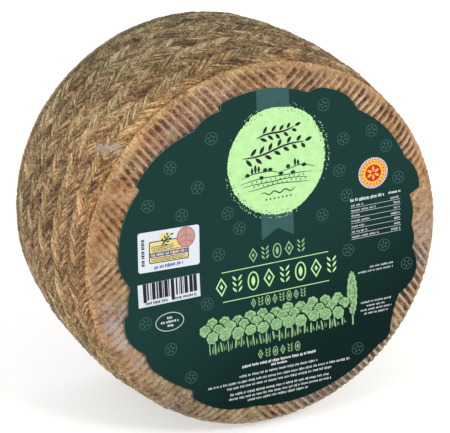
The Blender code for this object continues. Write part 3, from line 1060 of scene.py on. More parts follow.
def flecks(generator, count, low, high, width):
    """Loose flecks of ink along the disc's edge, thick where it is brushed roughly."""
    outlines = []
    for index in range(count):
        degrees = 360.0 * (index + generator.uniform(0.2, 0.8)) / count
        kept = generator.uniform(0.0, 1.0) < rough_share(degrees) ** 1.5
        reach = generator.uniform(low, high)
        tilt = generator.uniform(-0.7, 0.7)
        half = generator.uniform(0.15, 0.42)
        wide = width * generator.uniform(0.5, 1.0)
        turn = math.radians(degrees)
        middle = around(*DISC_CENTRE, DISC_HALF[0] * reach, DISC_HALF[1] * reach, turn)
        run = turn + math.pi / 2.0 + tilt
        if kept:
            line = [around(*middle, side * half, side * half, run) for side in (-1.0, 0.0, 1.0)]
            outlines.append(stroke(line, wide, 0.35))
    return outlines


def branch(points, count, length, width):
    """A stem along points with leaves to both sides in turn."""
    outlines = [stroke(points, 0.95, 0.35)]
    last = len(points) - 1
    for index in range(count):
        place = (index + 0.7) / (count + 0.3) * last
        first = min(int(place), last - 1)
        share = place - first
        start = points[first]
        end = points[first + 1]
        px = start[0] + share * (end[0] - start[0])
        pz = start[1] + share * (end[1] - start[1])
        run = math.atan2(end[1] - start[1], end[0] - start[0])
        side = 1.0 if index % 2 else -1.0
        size = length * (1.0 - 0.35 * index / count)
        foot = (px - 0.62 * side * math.sin(run), pz + 0.62 * side * math.cos(run))
        outlines.append(leaf(*foot, size, width, run + 0.85 * side))
    tip = points[-1]
    outlines.append(leaf(tip[0] + 0.5, tip[1] + 0.2, 0.8 * length, width, 0.35))
    return outlines


def disc_emblem():
    """Dark print of the disc: two leafy branches, and a dotted wave below."""
    x, z = DISC_CENTRE
    outlines = []
    for left, right, level, rise, bend, count, length in DISC_BRANCHES:
        stem = []
        for index in range(STEM_STEPS + 1):
            share = index / STEM_STEPS
            lift = rise * share + bend * math.sin(math.tau * share)
            stem.append((x + left + (right - left) * share, z + level + lift))
        outlines += branch(stem, count, length, 0.36 * length)
    line = []
    for step in range(LINE_STEPS + 1):
        line.append((x - 9.0 + 0.75 * step, z - 15.2 + 0.7 * math.sin(0.85 * step)))
    outlines.append(stroke(line, 0.6, 0.4))
    for index in range(7):
        outlines.append(lozenge(x - 6.3 + 2.1 * index, z - 18.2, 0.55, 0.55))
    return outlines


def disc_hills():
    """Fine drawing under the branches: the lines of rolling fields."""
    x, z = DISC_CENTRE
    outlines = []
    for left, right, level, rise in HILL_LINES:
        line = []
        for step in range(LINE_STEPS + 1):
            share = step / LINE_STEPS
            lift = rise * math.sin(math.pi * share) + 0.25 * math.sin(9.0 * share + left)
            line.append((x + left + share * (right - left), z + level + lift))
        outlines.append(stroke(line, 0.44, 0.3))
    return outlines


def disc_plants():
    """Slim trees, bushes and grass on the fields of the disc."""
    x, z = DISC_CENTRE
    outlines = []
    for place, foot, height in DISC_TREES:
        outlines.append(leaf(x + place, z + foot, height, 1.3, math.pi / 2.0, 8))
    for place, foot in DISC_BUSHES:
        outlines.append(crown_outline(x + place, z + foot, 1.15, 0.95, 5))
    for row, level in enumerate((-9.2, -11.2)):
        for place in range(12):
            foot = (x - 13.5 + 0.9 * row + 2.4 * place, z + level + 0.4 * math.sin(1.7 * place))
            outlines.append(stroke([foot, (foot[0] + 0.5, foot[1] + 0.9)], 0.34))
    return outlines


def ornament_row(x, z, pitch, half_width, half_height, width, count):
    """A running ornament of open lozenges, leaf pairs and open ovals."""
    outlines = []
    for index in range(count):
        place = x + (index - (count - 1) / 2.0) * pitch
        kind = index % 3
        if kind == 0:
            outlines += open_lozenge(place, z, half_width, half_height, width)
            outlines.append(lozenge(place, z, 0.3 * half_width, 0.3 * half_height))
        elif kind == 1:
            outlines += leaf_pairs(place, z, half_height, width)
        else:
            outlines += ring(place, z, half_width, half_height, width, 28)
            foot = z - 0.55 * half_height
            outlines.append(leaf(place, foot, 1.1 * half_height, 0.7 * half_width, math.pi / 2.0))
    return outlines


def leaf_pairs(x, z, half_height, width):
    """Three pairs of leaves, one above the other."""
    outlines = []
    lean = math.radians(52.0)
    for side, angle in ((-1.0, math.pi - lean), (1.0, lean)):
        for level in (-0.9, -0.25, 0.4):
            start = (x + side * 0.6 * width, z + level * (0.92 * half_height))
            outlines.append(leaf(*start, 0.72 * half_height, 1.5 * width, angle, 5))
    return outlines


def word_row(left, right, z, height, generator, bold=False):
    """A row of short upright ticks in groups, as fine print seen from afar."""
    outlines = []
    width, gap = BOLD_TICK if bold else FINE_TICK
    x = left
    letters = int(generator.integers(3, 9))
    while x < right:
        wide = width * generator.choice(TICK_WIDTHS)
        top = generator.choice(TICK_TOPS) * height
        low = generator.choice(TICK_FEET) * height
        outlines.append(bar(x, z - low, x + wide, z + top))
        x += wide + gap
        letters -= 1
        if letters == 0:
            letters = int(generator.integers(2, 9))
            x += WORD_GAP
    return outlines


def white_print(generator):
    """Fine white print: rows of ticks, a ruled table and an oval frame."""
    outlines = []
    for left, right, z, height, bold in WHITE_ROWS:
        outlines += word_row(left, right, z, height, generator, bold)
    left, right = TABLE_SIDES
    for index, z in enumerate(TABLE_ROWS):
        end = FIRST_COLUMN + generator.uniform(4.0, 15.0)
        outlines += word_row(FIRST_COLUMN, end, z - 0.1, 1.05, generator)
        start = SECOND_COLUMN - (LONGER_WORD if index % 3 == 0 else 0.0)
        outlines += word_row(start, SECOND_COLUMN_END, z, 1.2, generator)
        outlines.append(bar(left, z - 1.27, right, z - 1.12))
    x, middle = OVAL_CENTRE
    outlines += ring(x, middle, 7.2, 4.7, 0.3, 40)
    for z, half in OVAL_ROWS:
        outlines += word_row(x - half, x + half, middle + z, 1.3, generator, True)
    return outlines


def main_print():
    """Bright green print: two rules and the large row of ornaments between them."""
    return [bar(*rule) for rule in RULES] + ornament_row(*LARGE_ORNAMENTS)


def leaf_print():
    """Pale green print: the small rows of ornaments."""
    return [outline for row in SMALL_ORNAMENTS for outline in ornament_row(*row)]


def crown_outline(x, z, half_width, half_height, bumps):
    """A round tree crown with a scalloped, slightly lopsided edge."""
    points = []
    for turn in turns(bumps * 4):
        bump = 0.9 + 0.16 * abs(math.sin(0.5 * bumps * turn + 0.3 * x)) + 0.05 * math.sin(2.0 * turn + x)
        points.append(around(x, z, half_width * bump, half_height * bump, turn))
    return points


def hatching(x, z, half_width, low, high, generator):
    """Short curved leaf strokes over the part of a crown that shows."""
    outlines = []
    rows = round((high - low) / 1.05)
    for row in range(rows + 1):
        level = low + (high - low) * row / rows
        reach = half_width * math.sqrt(max(1.0 - (level / (high + 0.9)) ** 2, 0.05)) - 0.75
        count = max(1, round(reach / 0.62))
        for column in range(count):
            px = (column - (count - 1) / 2.0) * 1.3 + generator.uniform(-0.15, 0.15)
            pz = level + generator.uniform(-0.12, 0.12)
            if generator.uniform(0.0, 1.0) < 0.8:
                outlines.append(stroke(arc(x + px, z + pz, 0.5, 0.4, 200.0, 340.0, 4), 0.24, 0.5))
    return outlines


def row_shade(left, count, z):
    """The dark scalloped band behind one row of crowns."""
    half_width = CROWN_HALF + 0.28
    half_height = CROWN_HALF + 0.6
    outline = []
    for index in range(count):
        outline += arc(left + index * CROWN_PITCH, z, half_width, half_height, 170.0, 10.0, 14)
    foot = z - 0.8 * half_height
    return [outline + [(left + (count - 1) * CROWN_PITCH + half_width, foot), (left - half_width, foot)]]


def grove_layers(generator):
    """A dense grove of round trees: trunks, three rows of crowns, shade between them, and leaves."""
    layers = []
    marks = []
    for row, (name, left, count, z) in enumerate(GROVE_ROWS):
        crowns = []
        for index in range(count):
            x = left + CROWN_PITCH * index + generator.uniform(-0.2, 0.2)
            lift = generator.uniform(-0.6, 0.6)
            tall = CROWN_HALF * generator.uniform(0.9, 1.12)
            wide = CROWN_HALF * generator.uniform(0.9, 0.98)
            crowns.append(crown_outline(x, z + lift, wide, tall, 7))
            low = -1.7 if name == "front" else 0.1
            marks += hatching(x, z + lift, wide, low, 2.0, generator)
        if row > 0:
            layers.append((name + "_shade", row_shade(left, count, z), 2 * row + 1, "ground"))
        layers.append((name + "_trees", crowns, 2 * row + 2, "leaf"))
    marks += hatching(*CYPRESS_PLACE, 2.4, -9.0, 8.6, generator)
    trunks = trunk_row(generator) + cypress()
    top = 2 * len(GROVE_ROWS) + 1
    return [("trunks", trunks, 1, "leaf")] + layers + [("tree_marks", marks, top, "ground")]


def trunk_row(generator):
    """Slim slanting trunks, and grass between them."""
    outlines = []
    left, count, level = GROVE_ROWS[-1][1:]
    for index in range(2 * count):
        x = left - 1.6 + 0.5 * CROWN_PITCH * index + generator.uniform(-0.4, 0.4)
        foot = TRUNK_FOOT + generator.uniform(-1.0, 0.6)
        lean = generator.uniform(-0.9, 0.9)
        line = [(x, foot), (x + 0.4 * lean, foot + 2.2), (x + lean, level - 2.2)]
        outlines.append(stroke(line, generator.uniform(0.5, 0.95), 0.7))
        for blade in range(2):
            px = x + 1.15 + 0.7 * blade
            bend = generator.uniform(-0.5, 0.5)
            low = foot + generator.uniform(0.0, 1.2)
            tip = GRASS_TIP + generator.uniform(-1.6, 1.0)
            outlines.append(stroke([(px, low), (px + 0.3 * bend, low + 1.1), (px + bend, tip)], 0.34, 0.3))
    return outlines


def cypress():
    """A tall slender tree that stands at the right end of the grove."""
    x, z = CYPRESS_PLACE
    return [crown_outline(x, z, 2.75, 10.6, 17), bar(x - 0.4, z - 16.4, x + 0.4, z - 10.2)]


def sprigs():
    """Small ringed sprigs, each a few leaves in an open circle."""
    outlines = []
    for index, (x, z) in enumerate(SPRIG_PLACES):
        outlines += ring(x, z, SPRIG_RADIUS, SPRIG_RADIUS, 0.3, 24)
        for turn in turns(SPRIG_LEAVES):
            angle = turn + 0.4 * index
            outlines.append(leaf(*around(x, z, 0.55, 0.55, angle), 1.75, 0.75, angle, 4))
    return outlines


def bars(generator):
    """Dark bars of uneven width on the white field under the sticker, and two words."""
    outlines = []
    left, right = BARS_SIDES
    x = left
    while x < right:
        width = generator.choice(BAR_WIDTHS)
        long = x < left + 0.8 or x > right - 1.2 or abs(x - BARS_MIDDLE) < 0.6
        outlines.append(bar(x, LONG_BARS_FOOT if long else BARS_FOOT, x + width, BARS_TOP))
        x += width + generator.choice(BAR_GAPS)
    for start, end in BARS_WORDS:
        outlines += word_row(start, end, BARS_WORDS_HEIGHT, 1.5, generator, True)
    return outlines


def seal_layers():
    """A round seal: white rim with red teeth, yellow field with red dots, red middle and petals."""
    teeth = []
    for turn in turns(SEAL_TEETH):
        teeth += seal_disc(0.36, 6, around(*SEAL_CENTRE, SEAL_TEETH_RADIUS, SEAL_TEETH_RADIUS, turn))
    dots = []
    for turn in turns(SEAL_DOTS):
        dots += seal_disc(0.42, 8, around(*SEAL_CENTRE, SEAL_DOTS_RADIUS, SEAL_DOTS_RADIUS, turn))
    petals = []
    for turn in turns(SEAL_PETALS):
        angle = turn + math.pi / SEAL_PETALS
        petals.append(leaf(*around(*SEAL_CENTRE, 0.7, 0.7, angle), 2.9, 1.2, angle, 6))
    return [
        ("seal_rim", seal_disc(SEAL_RIM_RADIUS, 64), 1, "white"),
        ("seal_teeth", teeth + seal_disc(SEAL_BAND_RADIUS, 64), 2, "red"),
        ("seal_field", seal_disc(SEAL_FIELD_RADIUS, 64), 3, "yellow"),
        ("seal_middle", dots + seal_disc(SEAL_MIDDLE_RADIUS, 48), 4, "red"),
        ("seal_petals", petals, 5, "yellow"),
    ]


def seal_disc(radius, count, centre=SEAL_CENTRE):
    """A disc of the seal, in its middle unless a centre is given."""
    return [oval(*centre, radius, radius, count)]


def on_sticker(outlines):
    """Outlines drawn about the sticker's middle, set down on it."""
    x, z = STICKER_CENTRE
    return [turned([(x + a, z + b) for a, b in outline], x, z, STICKER_TILT) for outline in outlines]


def rounded_bar(x, z, half_width, half_height, radius):
    """A rectangle with round corners about a point."""
    points = []
    corners = ((1.0, -1.0, -90.0), (1.0, 1.0, 0.0), (-1.0, 1.0, 90.0), (-1.0, -1.0, 180.0))
    for side, level, start in corners:
        middle = (x + side * (half_width - radius), z + level * (half_height - radius))
        points += arc(*middle, radius, radius, start, start + 90.0, 5)
    return points


def mix_inks(start, names, settings):
    """One ink for each name, in the colour that has this name."""
    return {name: ink_surface(start + name, getattr(settings, name)) for name in names}


def make_label(settings):
    """Model the label's film and each colour printed on it."""
    generator = np.random.default_rng(LABEL_SEED)
    green = film_surface("label_front", settings.ground, settings.deep)
    film = printed("label", [label_edge()], LABEL_FRONT, -settings.film_thickness, 0.0, green)
    paint_edge(film, paper_surface("label_edge", settings.edge))
    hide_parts("face_label")
    names = ("ribbon", "lime", "leaf", "white", "paper", "mark", "haze", "black", "yellow", "red")
    inks = mix_inks("ink_", names, settings)
    inks["ground"] = film_surface("ink_ground", settings.ground, settings.deep)
    grove = grove_layers(generator)
    layers = (
        ("sprigs", sprigs(), 1, "mark"),
        ("ribbon", [ribbon_outline()], 1, "ribbon"),
        ("disc", disc_outlines(generator), 2, "lime"),
        ("disc_haze", flecks(generator, *HAZE_FLECKS), 1, "haze"),
        ("disc_gaps", flecks(generator, *GAP_FLECKS), 3, "ground"),
        ("branch", disc_emblem(), 3, "black"),
        ("hills", disc_hills(), 3, "ground"),
        ("plants", disc_plants(), 4, "ground"),
        ("main_ornaments", main_print(), 1, "lime"),
        ("ornaments", leaf_print(), 1, "leaf"),
        *grove,
        ("fine_print", white_print(generator), 1, "white"),
        ("bar_field", [bar(*BAR_FIELD)], 1, "paper"),
        ("bars", bars(generator), 2, "black"),
        *seal_layers(),
    )
    print_layers("print_", layers, LABEL_FRONT, inks, settings)


def paint_edge(piece, material):
    """Give the cut edge of a film its own material."""
    piece.data.materials.append(material)
    for face in piece.data.polygons:
        if abs(face.normal.y) < 0.5:
            face.material_index = 1


def sticker_layers(generator):
    """The sticker's print: a framed pale field, a blue stripe, ticks, lines, words and a pink disc."""
    ticks = []
    left, right = TICKS_SIDES
    level, top = TICKS_RANGE
    while level < top:
        tall = generator.choice(TICK_HEIGHTS)
        ticks.append(bar(left, level, right, level + tall))
        level += tall + generator.choice(TICK_GAPS)
    waves = []
    for height in STICKER_WAVES:
        run = LOW_WAVE_LENGTH if height < 0.0 else HIGH_WAVE_LENGTH
        line = []
        for step in range(LINE_STEPS + 1):
            line.append((WAVES_LEFT + run * step / LINE_STEPS, height + 0.22 * math.sin(1.5 * step)))
        waves.append(stroke(line, 0.28, 0.6))
    stem = [(-3.6 + 0.55 * step, 2.4 + 0.62 * step) for step in range(8)]
    stripe_words = word_row(*STRIPE_WORDS, generator, True)
    wording = word_row(*WORDING, generator, True)
    disc_lines = ring(*PINK_DISC, 0.28, 40) + [bar(*PINK_UPRIGHT)]
    for height in PINK_HEIGHTS:
        for start, end in PINK_STRETCHES:
            disc_lines.append(stroke(arc(PINK_DISC[0], height, 3.6, 2.0, start, end, 8), 0.24))
    return (
        ("ticks", ticks, 1, "black"),
        ("haze", [rounded_bar(*FIELD_HAZE)], 1, "straw"),
        ("field", [rounded_bar(*FIELD)], 2, "straw"),
        ("frame", [rounded_bar(*FIELD), rounded_bar(*FIELD_INSIDE)], 3, "black"),
        ("stripe", [bar(*STRIPE)], 3, "blue"),
        ("stripe_words", stripe_words, 4, "straw"),
        ("waves", waves, 3, "black"),
        ("sprig", branch(stem, 6, 2.3, 0.9), 3, "ribbon"),
        ("wording", [turned(tick, -0.5, WORDING[2], WORDING_TILT) for tick in wording], 1, "blue"),
        ("disc", [oval(*PINK_DISC, 40)], 5, "pink"),
        ("disc_lines", disc_lines, 6, "red"),
    )


def make_sticker(settings):
    """Model the sticker on the label and its print."""
    outline = on_sticker([rounded_bar(0.0, 0.0, *STICKER_HALF, STICKER_CORNER)])
    paper = paper_surface("sticker_paper", settings.paper)
    film = printed("sticker", outline, STICKER_FRONT, -settings.film_thickness, 0.0, paper)
    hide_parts("control_sticker")
    inks = mix_inks("sticker_", ("black", "straw", "blue", "pink", "red", "ribbon"), settings)
    rows = sticker_layers(np.random.default_rng(STICKER_SEED))
    layers = [(name, on_sticker(outlines), level, ink) for name, outlines, level, ink in rows]
    print_layers("sticker_", layers, STICKER_FRONT, inks, settings)


# Materials

class Surface:
    """One procedural material, built node by node."""

    def __init__(self, name, roughness, specular=0.5):
        self.material = bpy.data.materials.new(name)
        self.material.use_nodes = True
        self.tree = self.material.node_tree
        self.shader = self.tree.nodes["Principled BSDF"]
        self.shader.inputs["Roughness"].default_value = roughness
        self.shader.inputs["Specular IOR Level"].default_value = specular
        self.shader.inputs["Metallic"].default_value = 0.0

    def feed(self, socket, value):
        """Link an output to a socket, or set a plain value on it."""
        if isinstance(value, bpy.types.NodeSocket):
            self.tree.links.new(value, socket)
        elif socket.type == "RGBA":
            socket.default_value = (*value, 1.0)
        else:
            socket.default_value = value

    def add(self, kind, inputs, **settings):
        """Add a node, with its settings and its inputs by number or name."""
        node = self.tree.nodes.new(kind)
        for name, value in settings.items():
            setattr(node, name, value)
        for key, value in inputs.items():
            self.feed(node.inputs[key], value)
        return node

    def paint(self, colour):
        """Feed a colour to the shader."""
        self.feed(self.shader.inputs["Base Color"], colour)

    def place(self):
        """The point in the part's own frame."""
        return self.add("ShaderNodeTexCoord", {}).outputs["Object"]

    def along(self, axis):
        """One part of the point, in metres: 0 to the right, 1 to the back, 2 up."""
        return self.add("ShaderNodeSeparateXYZ", {0: self.place()}).outputs[axis]

    def height(self, low, high, *to):
        """How far a point has come from one height above the floor to another."""
        return self.span(self.along(2), low, high, *to)

    def forward(self):
        """How far a point lies in front of the wheel's middle, in metres."""
        return self.math("SUBTRACT", MID_Y, self.along(1))

    def shade(self, name):
        """A number stored on the vertices."""
        return self.add("ShaderNodeAttribute", {}, attribute_name=name).outputs["Fac"]

    def noise(self, vector, scale, detail=2.0, roughness=0.5):
        """Noise from 0 to 1, about its middle value most of the time."""
        inputs = {"Vector": vector, "Scale": scale, "Detail": detail, "Roughness": roughness}
        return self.add("ShaderNodeTexNoise", inputs).outputs[0]

    def fibres(self, across, along):
        """Streaks on the strand map, with so many to a millimetre across and along."""
        strands = self.add("ShaderNodeUVMap", {}, uv_map="strands").outputs["UV"]
        node = self.add("ShaderNodeMapping", {"Vector": strands, "Scale": (across, along, 1.0)})
        return self.span(self.noise(node.outputs["Vector"], 1.0, 2.0, 0.6), 0.32, 0.68)

    def patches(self, scale, detail, roughness, low, high, *to):
        """Noise over the part, moved from one range to another."""
        return self.span(self.noise(self.place(), scale, detail, roughness), low, high, *to)

    def math(self, operation, first, second):
        """A number from two numbers."""
        return self.add("ShaderNodeMath", {0: first, 1: second}, operation=operation).outputs[0]

    def times(self, first, second):
        """One number times another."""
        return self.math("MULTIPLY", first, second)

    def weigh(self, start, *parts):
        """A start value plus each part times its weight."""
        total = start
        for value, weight in parts:
            node = self.add("ShaderNodeMath", {0: value, 1: weight, 2: total}, operation="MULTIPLY_ADD")
            total = node.outputs[0]
        return total

    def span(self, value, low, high, to_low=0.0, to_high=1.0):
        """A number moved from one range to another and kept inside it."""
        inputs = {0: value, 1: low, 2: high, 3: to_low, 4: to_high}
        return self.add("ShaderNodeMapRange", inputs, interpolation_type="SMOOTHSTEP").outputs[0]

    def mix(self, share, first, second, way="MIX"):
        """A colour between two colours."""
        inputs = {0: share, 6: first, 7: second}
        return self.add("ShaderNodeMix", inputs, data_type="RGBA", blend_type=way).outputs[2]

    def tint(self, colour, *tints):
        """A colour multiplied by each tint in turn, as far as the share that stands before it says."""
        for share, factors in tints:
            colour = self.mix(share, colour, factors, "MULTIPLY")
        return colour

    def ramp(self, value, *stops):
        """A colour read from a row of places and colours."""
        node = self.add("ShaderNodeValToRGB", {0: value})
        band = node.color_ramp
        while len(band.elements) < len(stops):
            band.elements.new(1.0)
        for element, (place, colour) in zip(band.elements, stops):
            element.position = place
            element.color = (*colour, 1.0)
        return node.outputs["Color"]

    def bump(self, height, distance, strength):
        """Roughen the surface by a height and feed it to the shader."""
        inputs = {"Height": height, "Distance": distance, "Strength": strength}
        self.feed(self.shader.inputs["Normal"], self.add("ShaderNodeBump", inputs).outputs["Normal"])


def rind_surface(colours):
    """Dry waxy rind: fibrous strands on the side, crumbly tan on corners and faces."""
    s = Surface("rind", 0.74, 0.12)
    fibre = s.fibres(1.15, 0.15)
    hair = s.fibres(2.4, 0.4)
    crumb = s.patches(800.0, 3.0, 0.65, 0.34, 0.66)
    patch = s.patches(110.0, 3.0, 0.6, 0.32, 0.68)
    broad = s.patches(24.0, 2.0, 0.5, 0.35, 0.65)
    # How deep each point is sunk: both colours darken with it, painted shade in the grooves and valleys
    depth = s.span(s.shade("sunk"), 0.1, 1.05)
    parts = (fibre, hair, crumb, patch, broad, depth)
    colour = s.mix(s.shade("ridged"), plait_colour(s, colours, parts), ridge_colour(s, colours, parts))
    film = s.times(s.shade("bloom"), s.weigh(0.25, (crumb, 0.5), (patch, 0.25)))
    s.paint(s.mix(film, colour, colours.bloom))
    s.bump(s.weigh(0.0, (fibre, 0.5), (hair, 0.3), (crumb, 0.5)), 0.0005, 0.8)
    return s.material


def plait_colour(s, colours, parts):
    """Olive and straw strands with grooves darkened as painted shade, greener and redder from place to
    place.
    """
    fibre, hair, crumb, patch, broad, depth = parts
    # Deeper points are darker here: painted shade in the grooves and seams
    light = s.weigh(0.04, (fibre, 0.36), (hair, 0.14), (crumb, 0.36), (patch, 0.15), (broad, 0.08),
                    (s.shade("tone"), 0.24), (depth, -0.34))
    colour = s.ramp(light, (0.05, colours.shadow), (0.27, colours.brown), (0.50, colours.olive),
                    (0.75, colours.straw), (1.0, colours.cream))
    upper = s.height(0.015, 0.080, 0.25, 1.0)
    # The golden band round the front rim has an uneven edge
    rim = s.span(s.math("ADD", s.forward(), s.weigh(-0.006, (patch, 0.012))), 0.028, 0.050)
    return s.tint(
        colour,
        # Reddish and greenish patches; painted shade at the top and low down
        (s.times(s.span(patch, 0.5, 0.95), 0.7), (1.10, 0.93, 0.88)),
        (s.patches(70.0, 2.0, 0.6, 0.46, 0.66), (0.95, 1.01, 0.94)),
        (s.height(0.140, 0.190), (0.74, 0.82, 0.86)),
        (s.height(0.085, 0.035), (0.84, 0.96, 0.98)),
        # Warmer towards the front, golden at its rim
        (s.times(upper, s.span(s.forward(), -0.030, 0.030)), (1.10, 0.99, 0.92)),
        (s.times(upper, rim), (1.22, 1.08, 0.97)),
    )


def ridge_colour(s, colours, parts):
    """Tan ridges with a painted highlight on their crests here and there, and pitted, rusty valleys that are
    darkened further as painted shade.
    """
    fibre, hair, crumb, patch, broad, depth = parts
    right = s.span(s.along(0), 0.010, 0.055)
    rubbed = s.times(s.height(0.070, 0.084), s.height(0.126, 0.108))
    # The right side, less where rubbed: cleaner of orange and rust, and given painted light, lighter, with
    # more painted highlight and darker valleys
    clean_and_lit = s.times(right, s.weigh(1.0, (rubbed, -0.7)))
    rest = s.math("SUBTRACT", 1.0, clean_and_lit)
    crumbly = s.patches(55.0, 2.0, 0.5, 0.42, 0.62, 0.45, 1.0)
    crumb = s.weigh(0.5, (s.math("SUBTRACT", crumb, 0.5), crumbly))
    clot = s.patches(380.0, 2.0, 0.6, 0.36, 0.64)
    grit = s.patches(520.0, 3.0, 0.6, 0.34, 0.66, -0.20, 0.10)
    light = s.weigh(0.105, (fibre, 0.08), (hair, 0.06), (crumb, 0.36), (patch, 0.28), (clot, 0.21),
                    (broad, 0.08), (clean_and_lit, 0.07), (grit, s.times(right, rubbed)))
    # Deeper points are darker: painted shade in the valleys, stronger on the right
    light = s.math("SUBTRACT", light, s.times(depth, s.weigh(0.46, (clean_and_lit, 0.16))))
    colour = s.ramp(light, (0.03, colours.shadow), (0.20, colours.rust), (0.46, colours.tan),
                    (0.76, colours.pale), (1.0, colours.straw))
    warm = s.times(rest, s.patches(45.0, 2.0, 0.5, 0.42, 0.62))
    colour = s.tint(
        colour,
        # Orange, olive and rusty patches
        (warm, (1.08, 0.97, 0.86)),
        (s.patches(80.0, 2.0, 0.6, 0.50, 0.66), (0.90, 0.97, 0.88)),
        (s.times(rest, s.patches(150.0, 2.0, 0.6, 0.56, 0.72, 0.0, 0.65)), (0.78, 0.68, 0.64)),
        # Drab low down, partly as painted shade, and painted light at the lower right
        (s.height(0.062, 0.010), (0.82, 0.95, 1.07)),
        (s.times(clean_and_lit, s.height(0.075, 0.040)), (1.17, 1.20, 1.24)),
        # Dull where it is worn at the left, golden at the right
        (s.span(s.along(0), -0.055, -0.080), (0.86, 0.84, 0.83)),
        (s.times(clean_and_lit, s.height(0.048, 0.072)), (1.06, 0.98, 0.84)),
        # Darker and bluer at the lower left, greyer on the back face
        (s.times(s.span(s.along(0), -0.020, -0.050), s.height(0.055, 0.022)), (0.68, 0.74, 0.88)),
        (s.span(s.forward(), -0.020, -0.045), (1.05, 1.12, 1.20)),
    )
    # Share of painted highlight along the crests, more on the right, less where it is orange
    waxy = s.weigh(0.06, (crumb, 0.30), (patch, 0.25), (broad, 0.2), (clean_and_lit, 0.38))
    waxy = s.times(waxy, s.math("SUBTRACT", 1.15, warm))
    return s.mix(s.times(s.shade("tone"), waxy), colour, colours.painted_highlight)


def table_surface(colour, glow):
    """The matt white top of a light table."""
    s = Surface("floor", 0.9, 0.1)
    s.paint(colour)
    s.feed(s.shader.inputs["Emission Color"], (1.0, 1.0, 1.0))
    s.shader.inputs["Emission Strength"].default_value = glow
    return s.material


def film_surface(name, colour, deep):
    """Satin printed film: dark green, darker towards the lower right, a gradient that is partly print and
    partly painted reflection and shade.
    """
    s = Surface(name, 0.42, 0.05)
    drift = s.math("SUBTRACT", s.along(2), s.times(s.along(0), 0.45))
    drift = s.weigh(-0.012, (s.noise(s.place(), 30.0), 0.024), (drift, 1.0))
    # From the deep colour at the lower right to the lightened ground at the upper left: partly print, partly
    # painted reflection and shade
    shade = s.span(drift, AXIS_HEIGHT - 0.078, AXIS_HEIGHT + 0.010)
    s.paint(s.mix(shade, deep, lightened(colour, 1.25)))
    s.bump(s.noise(s.place(), 900.0), 0.00004, 0.5)
    return s.material


def ink_surface(name, colour):
    """Printing ink: its colour, a little uneven, with the film's satin."""
    s = Surface(name, 0.48, 0.08)
    cloud = s.patches(260.0, 3.0, 0.6, 0.3, 0.7)
    s.paint(s.mix(cloud, lightened(colour, 0.88), colour))
    s.bump(s.noise(s.place(), 900.0), 0.00004, 0.5)
    return s.material


def paper_surface(name, colour):
    """Coated white paper with a faint tooth."""
    s = Surface(name, 0.55)
    tooth = s.noise(s.place(), 1400.0, 3.0, 0.6)
    s.paint(s.mix(s.span(tooth, 0.3, 0.7), lightened(colour, 0.95), colour))
    s.bump(tooth, 0.00005, 0.5)
    return s.material


def lightened(colour, factor):
    """A colour made lighter, or darker by a factor under 1."""
    return tuple(factor * part for part in colour)


# The stage

# Soft lights that look at the wheel: name, place, size, power and colour
LIGHTS = (
    ("key", (0.4, -1.8, 1.25), 0.5, 25.0, (1.0, 0.985, 0.96)),
    ("side", (-1.8, -0.7, 0.8), 0.8, 12.5, (1.0, 1.0, 1.0)),
)
FLOOR_SIZE = 12.0
SENSOR_WIDTH = 36.0
NEAREST = 0.05
FARTHEST = 60.0
SURROUND_STRENGTH = 0.85


def add_floor(settings):
    """Add a wide pale floor, lit a little from below as a light table is."""
    deselect_all()
    bpy.ops.mesh.primitive_plane_add(size=FLOOR_SIZE)
    floor = bpy.context.active_object
    floor.name = "floor"
    floor.data.materials.append(table_surface(settings.floor, settings.floor_glow))


def add_light(name, place, size, power, colour):
    """Add one soft area light that looks at the wheel."""
    data = bpy.data.lights.new(name, "AREA")
    data.shape = "DISK"
    data.size = size
    data.energy = power
    data.color = colour
    light = bpy.data.objects.new(name, data)
    bpy.context.scene.collection.objects.link(light)
    aim = Vector((0.0, 0.0, AXIS_HEIGHT)) - Vector(place)
    light.location = place
    light.rotation_euler = aim.to_track_quat("-Z", "Y").to_euler()


def add_camera(settings):
    """Set the camera at the photograph's view of the wheel."""
    turn = settings.azimuth
    tilt = settings.elevation
    level = Vector((math.sin(turn), math.cos(turn), 0.0))
    up = Vector((0.0, 0.0, 1.0))
    right = Vector((math.cos(turn), -math.sin(turn), 0.0))
    ahead = level * math.cos(tilt) - up * math.sin(tilt)
    above = level * math.sin(tilt) + up * math.cos(tilt)
    lean = settings.roll
    camera_right = right * math.cos(lean) + above * math.sin(lean)
    camera_up = above * math.cos(lean) - right * math.sin(lean)
    middle = Vector((0.0, MID_Y, AXIS_HEIGHT))
    place = middle - ahead * settings.distance
    place += camera_right * settings.shift_right + camera_up * settings.shift_up
    data = bpy.data.cameras.new("camera")
    data.lens = settings.lens
    data.sensor_width = SENSOR_WIDTH
    data.clip_start = NEAREST
    data.clip_end = FARTHEST
    camera = bpy.data.objects.new("camera", data)
    bpy.context.scene.collection.objects.link(camera)
    facing = Matrix((camera_right, camera_up, -ahead)).transposed().to_4x4()
    camera.matrix_world = Matrix.Translation(place) @ facing
    bpy.context.scene.camera = camera


def set_world():
    """Light the scene evenly from a white surrounding."""
    world = bpy.data.worlds.new("studio")
    world.use_nodes = True
    background = world.node_tree.nodes["Background"]
    background.inputs["Color"].default_value = (1.0, 1.0, 1.0, 1.0)
    background.inputs["Strength"].default_value = SURROUND_STRENGTH
    bpy.context.scene.world = world
    bpy.context.scene.view_settings.view_transform = "Standard"


# Operators

class CHEESE_OT_rind(Operator):
    """Model the rind with its plaited side and ridged faces"""

    bl_idname = "cheese.make_rind"
    bl_label = "Make the rind"

    def execute(self, context):
        settings = context.scene.cheese_rind
        rind = make_rind(settings)
        rind.data.materials.clear()
        rind.data.materials.append(rind_surface(settings))
        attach(rind, "root")
        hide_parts("cheese_wheel")
        return {"FINISHED"}


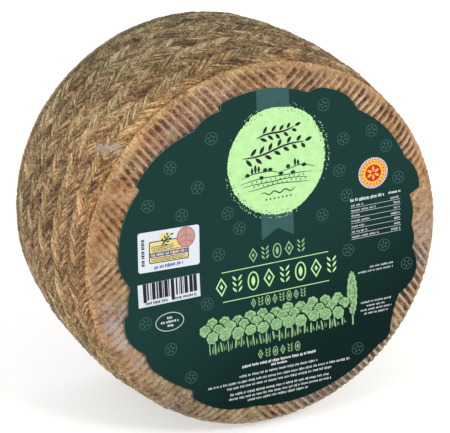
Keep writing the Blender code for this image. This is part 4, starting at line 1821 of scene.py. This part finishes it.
class CHEESE_OT_label(Operator):
    """Model the lobed label and its print"""

    bl_idname = "cheese.make_label"
    bl_label = "Make the label"

    def execute(self, context):
        make_label(context.scene.cheese_print)
        return {"FINISHED"}


class CHEESE_OT_sticker(Operator):
    """Model the sticker on the label and its print"""

    bl_idname = "cheese.make_sticker"
    bl_label = "Make the sticker"

    def execute(self, context):
        make_sticker(context.scene.cheese_print)
        return {"FINISHED"}


class CHEESE_OT_stage(Operator):
    """Set the floor, the lights and the camera"""

    bl_idname = "cheese.set_stage"
    bl_label = "Set the stage"

    def execute(self, context):
        settings = context.scene.cheese_stage
        add_camera(settings)
        add_floor(settings)
        for light in LIGHTS:
            add_light(*light)
        set_world()
        return {"FINISHED"}


class CHEESE_PT_panel(Panel):
    """List the steps that build the wheel"""

    bl_label = "Cheese wheel"
    bl_space_type = "VIEW_3D"
    bl_region_type = "UI"
    bl_category = "Cheese wheel"

    def draw(self, context):
        layout = self.layout
        for step in (CHEESE_OT_rind, CHEESE_OT_label, CHEESE_OT_sticker, CHEESE_OT_stage):
            layout.operator(step.bl_idname)


CLASSES = (RindSettings, PrintSettings, StageSettings, CHEESE_OT_rind, CHEESE_OT_label,
           CHEESE_OT_sticker, CHEESE_OT_stage, CHEESE_PT_panel)


def register():
    """Register the classes and hang the settings on the scene."""
    for kind in CLASSES:
        bpy.utils.register_class(kind)
    bpy.types.Scene.cheese_rind = PointerProperty(type=RindSettings)
    bpy.types.Scene.cheese_print = PointerProperty(type=PrintSettings)
    bpy.types.Scene.cheese_stage = PointerProperty(type=StageSettings)


def unregister():
    """Take the settings and the classes away again."""
    del bpy.types.Scene.cheese_stage
    del bpy.types.Scene.cheese_print
    del bpy.types.Scene.cheese_rind
    for kind in reversed(CLASSES):
        bpy.utils.unregister_class(kind)


def main():
    """Build the wheel on the frame, then the stage."""
    deselect_all()
    register()
    bpy.ops.cheese.make_rind()
    bpy.ops.cheese.make_label()
    bpy.ops.cheese.make_sticker()
    bpy.ops.cheese.set_stage()


if __name__ == "__main__":
    main()
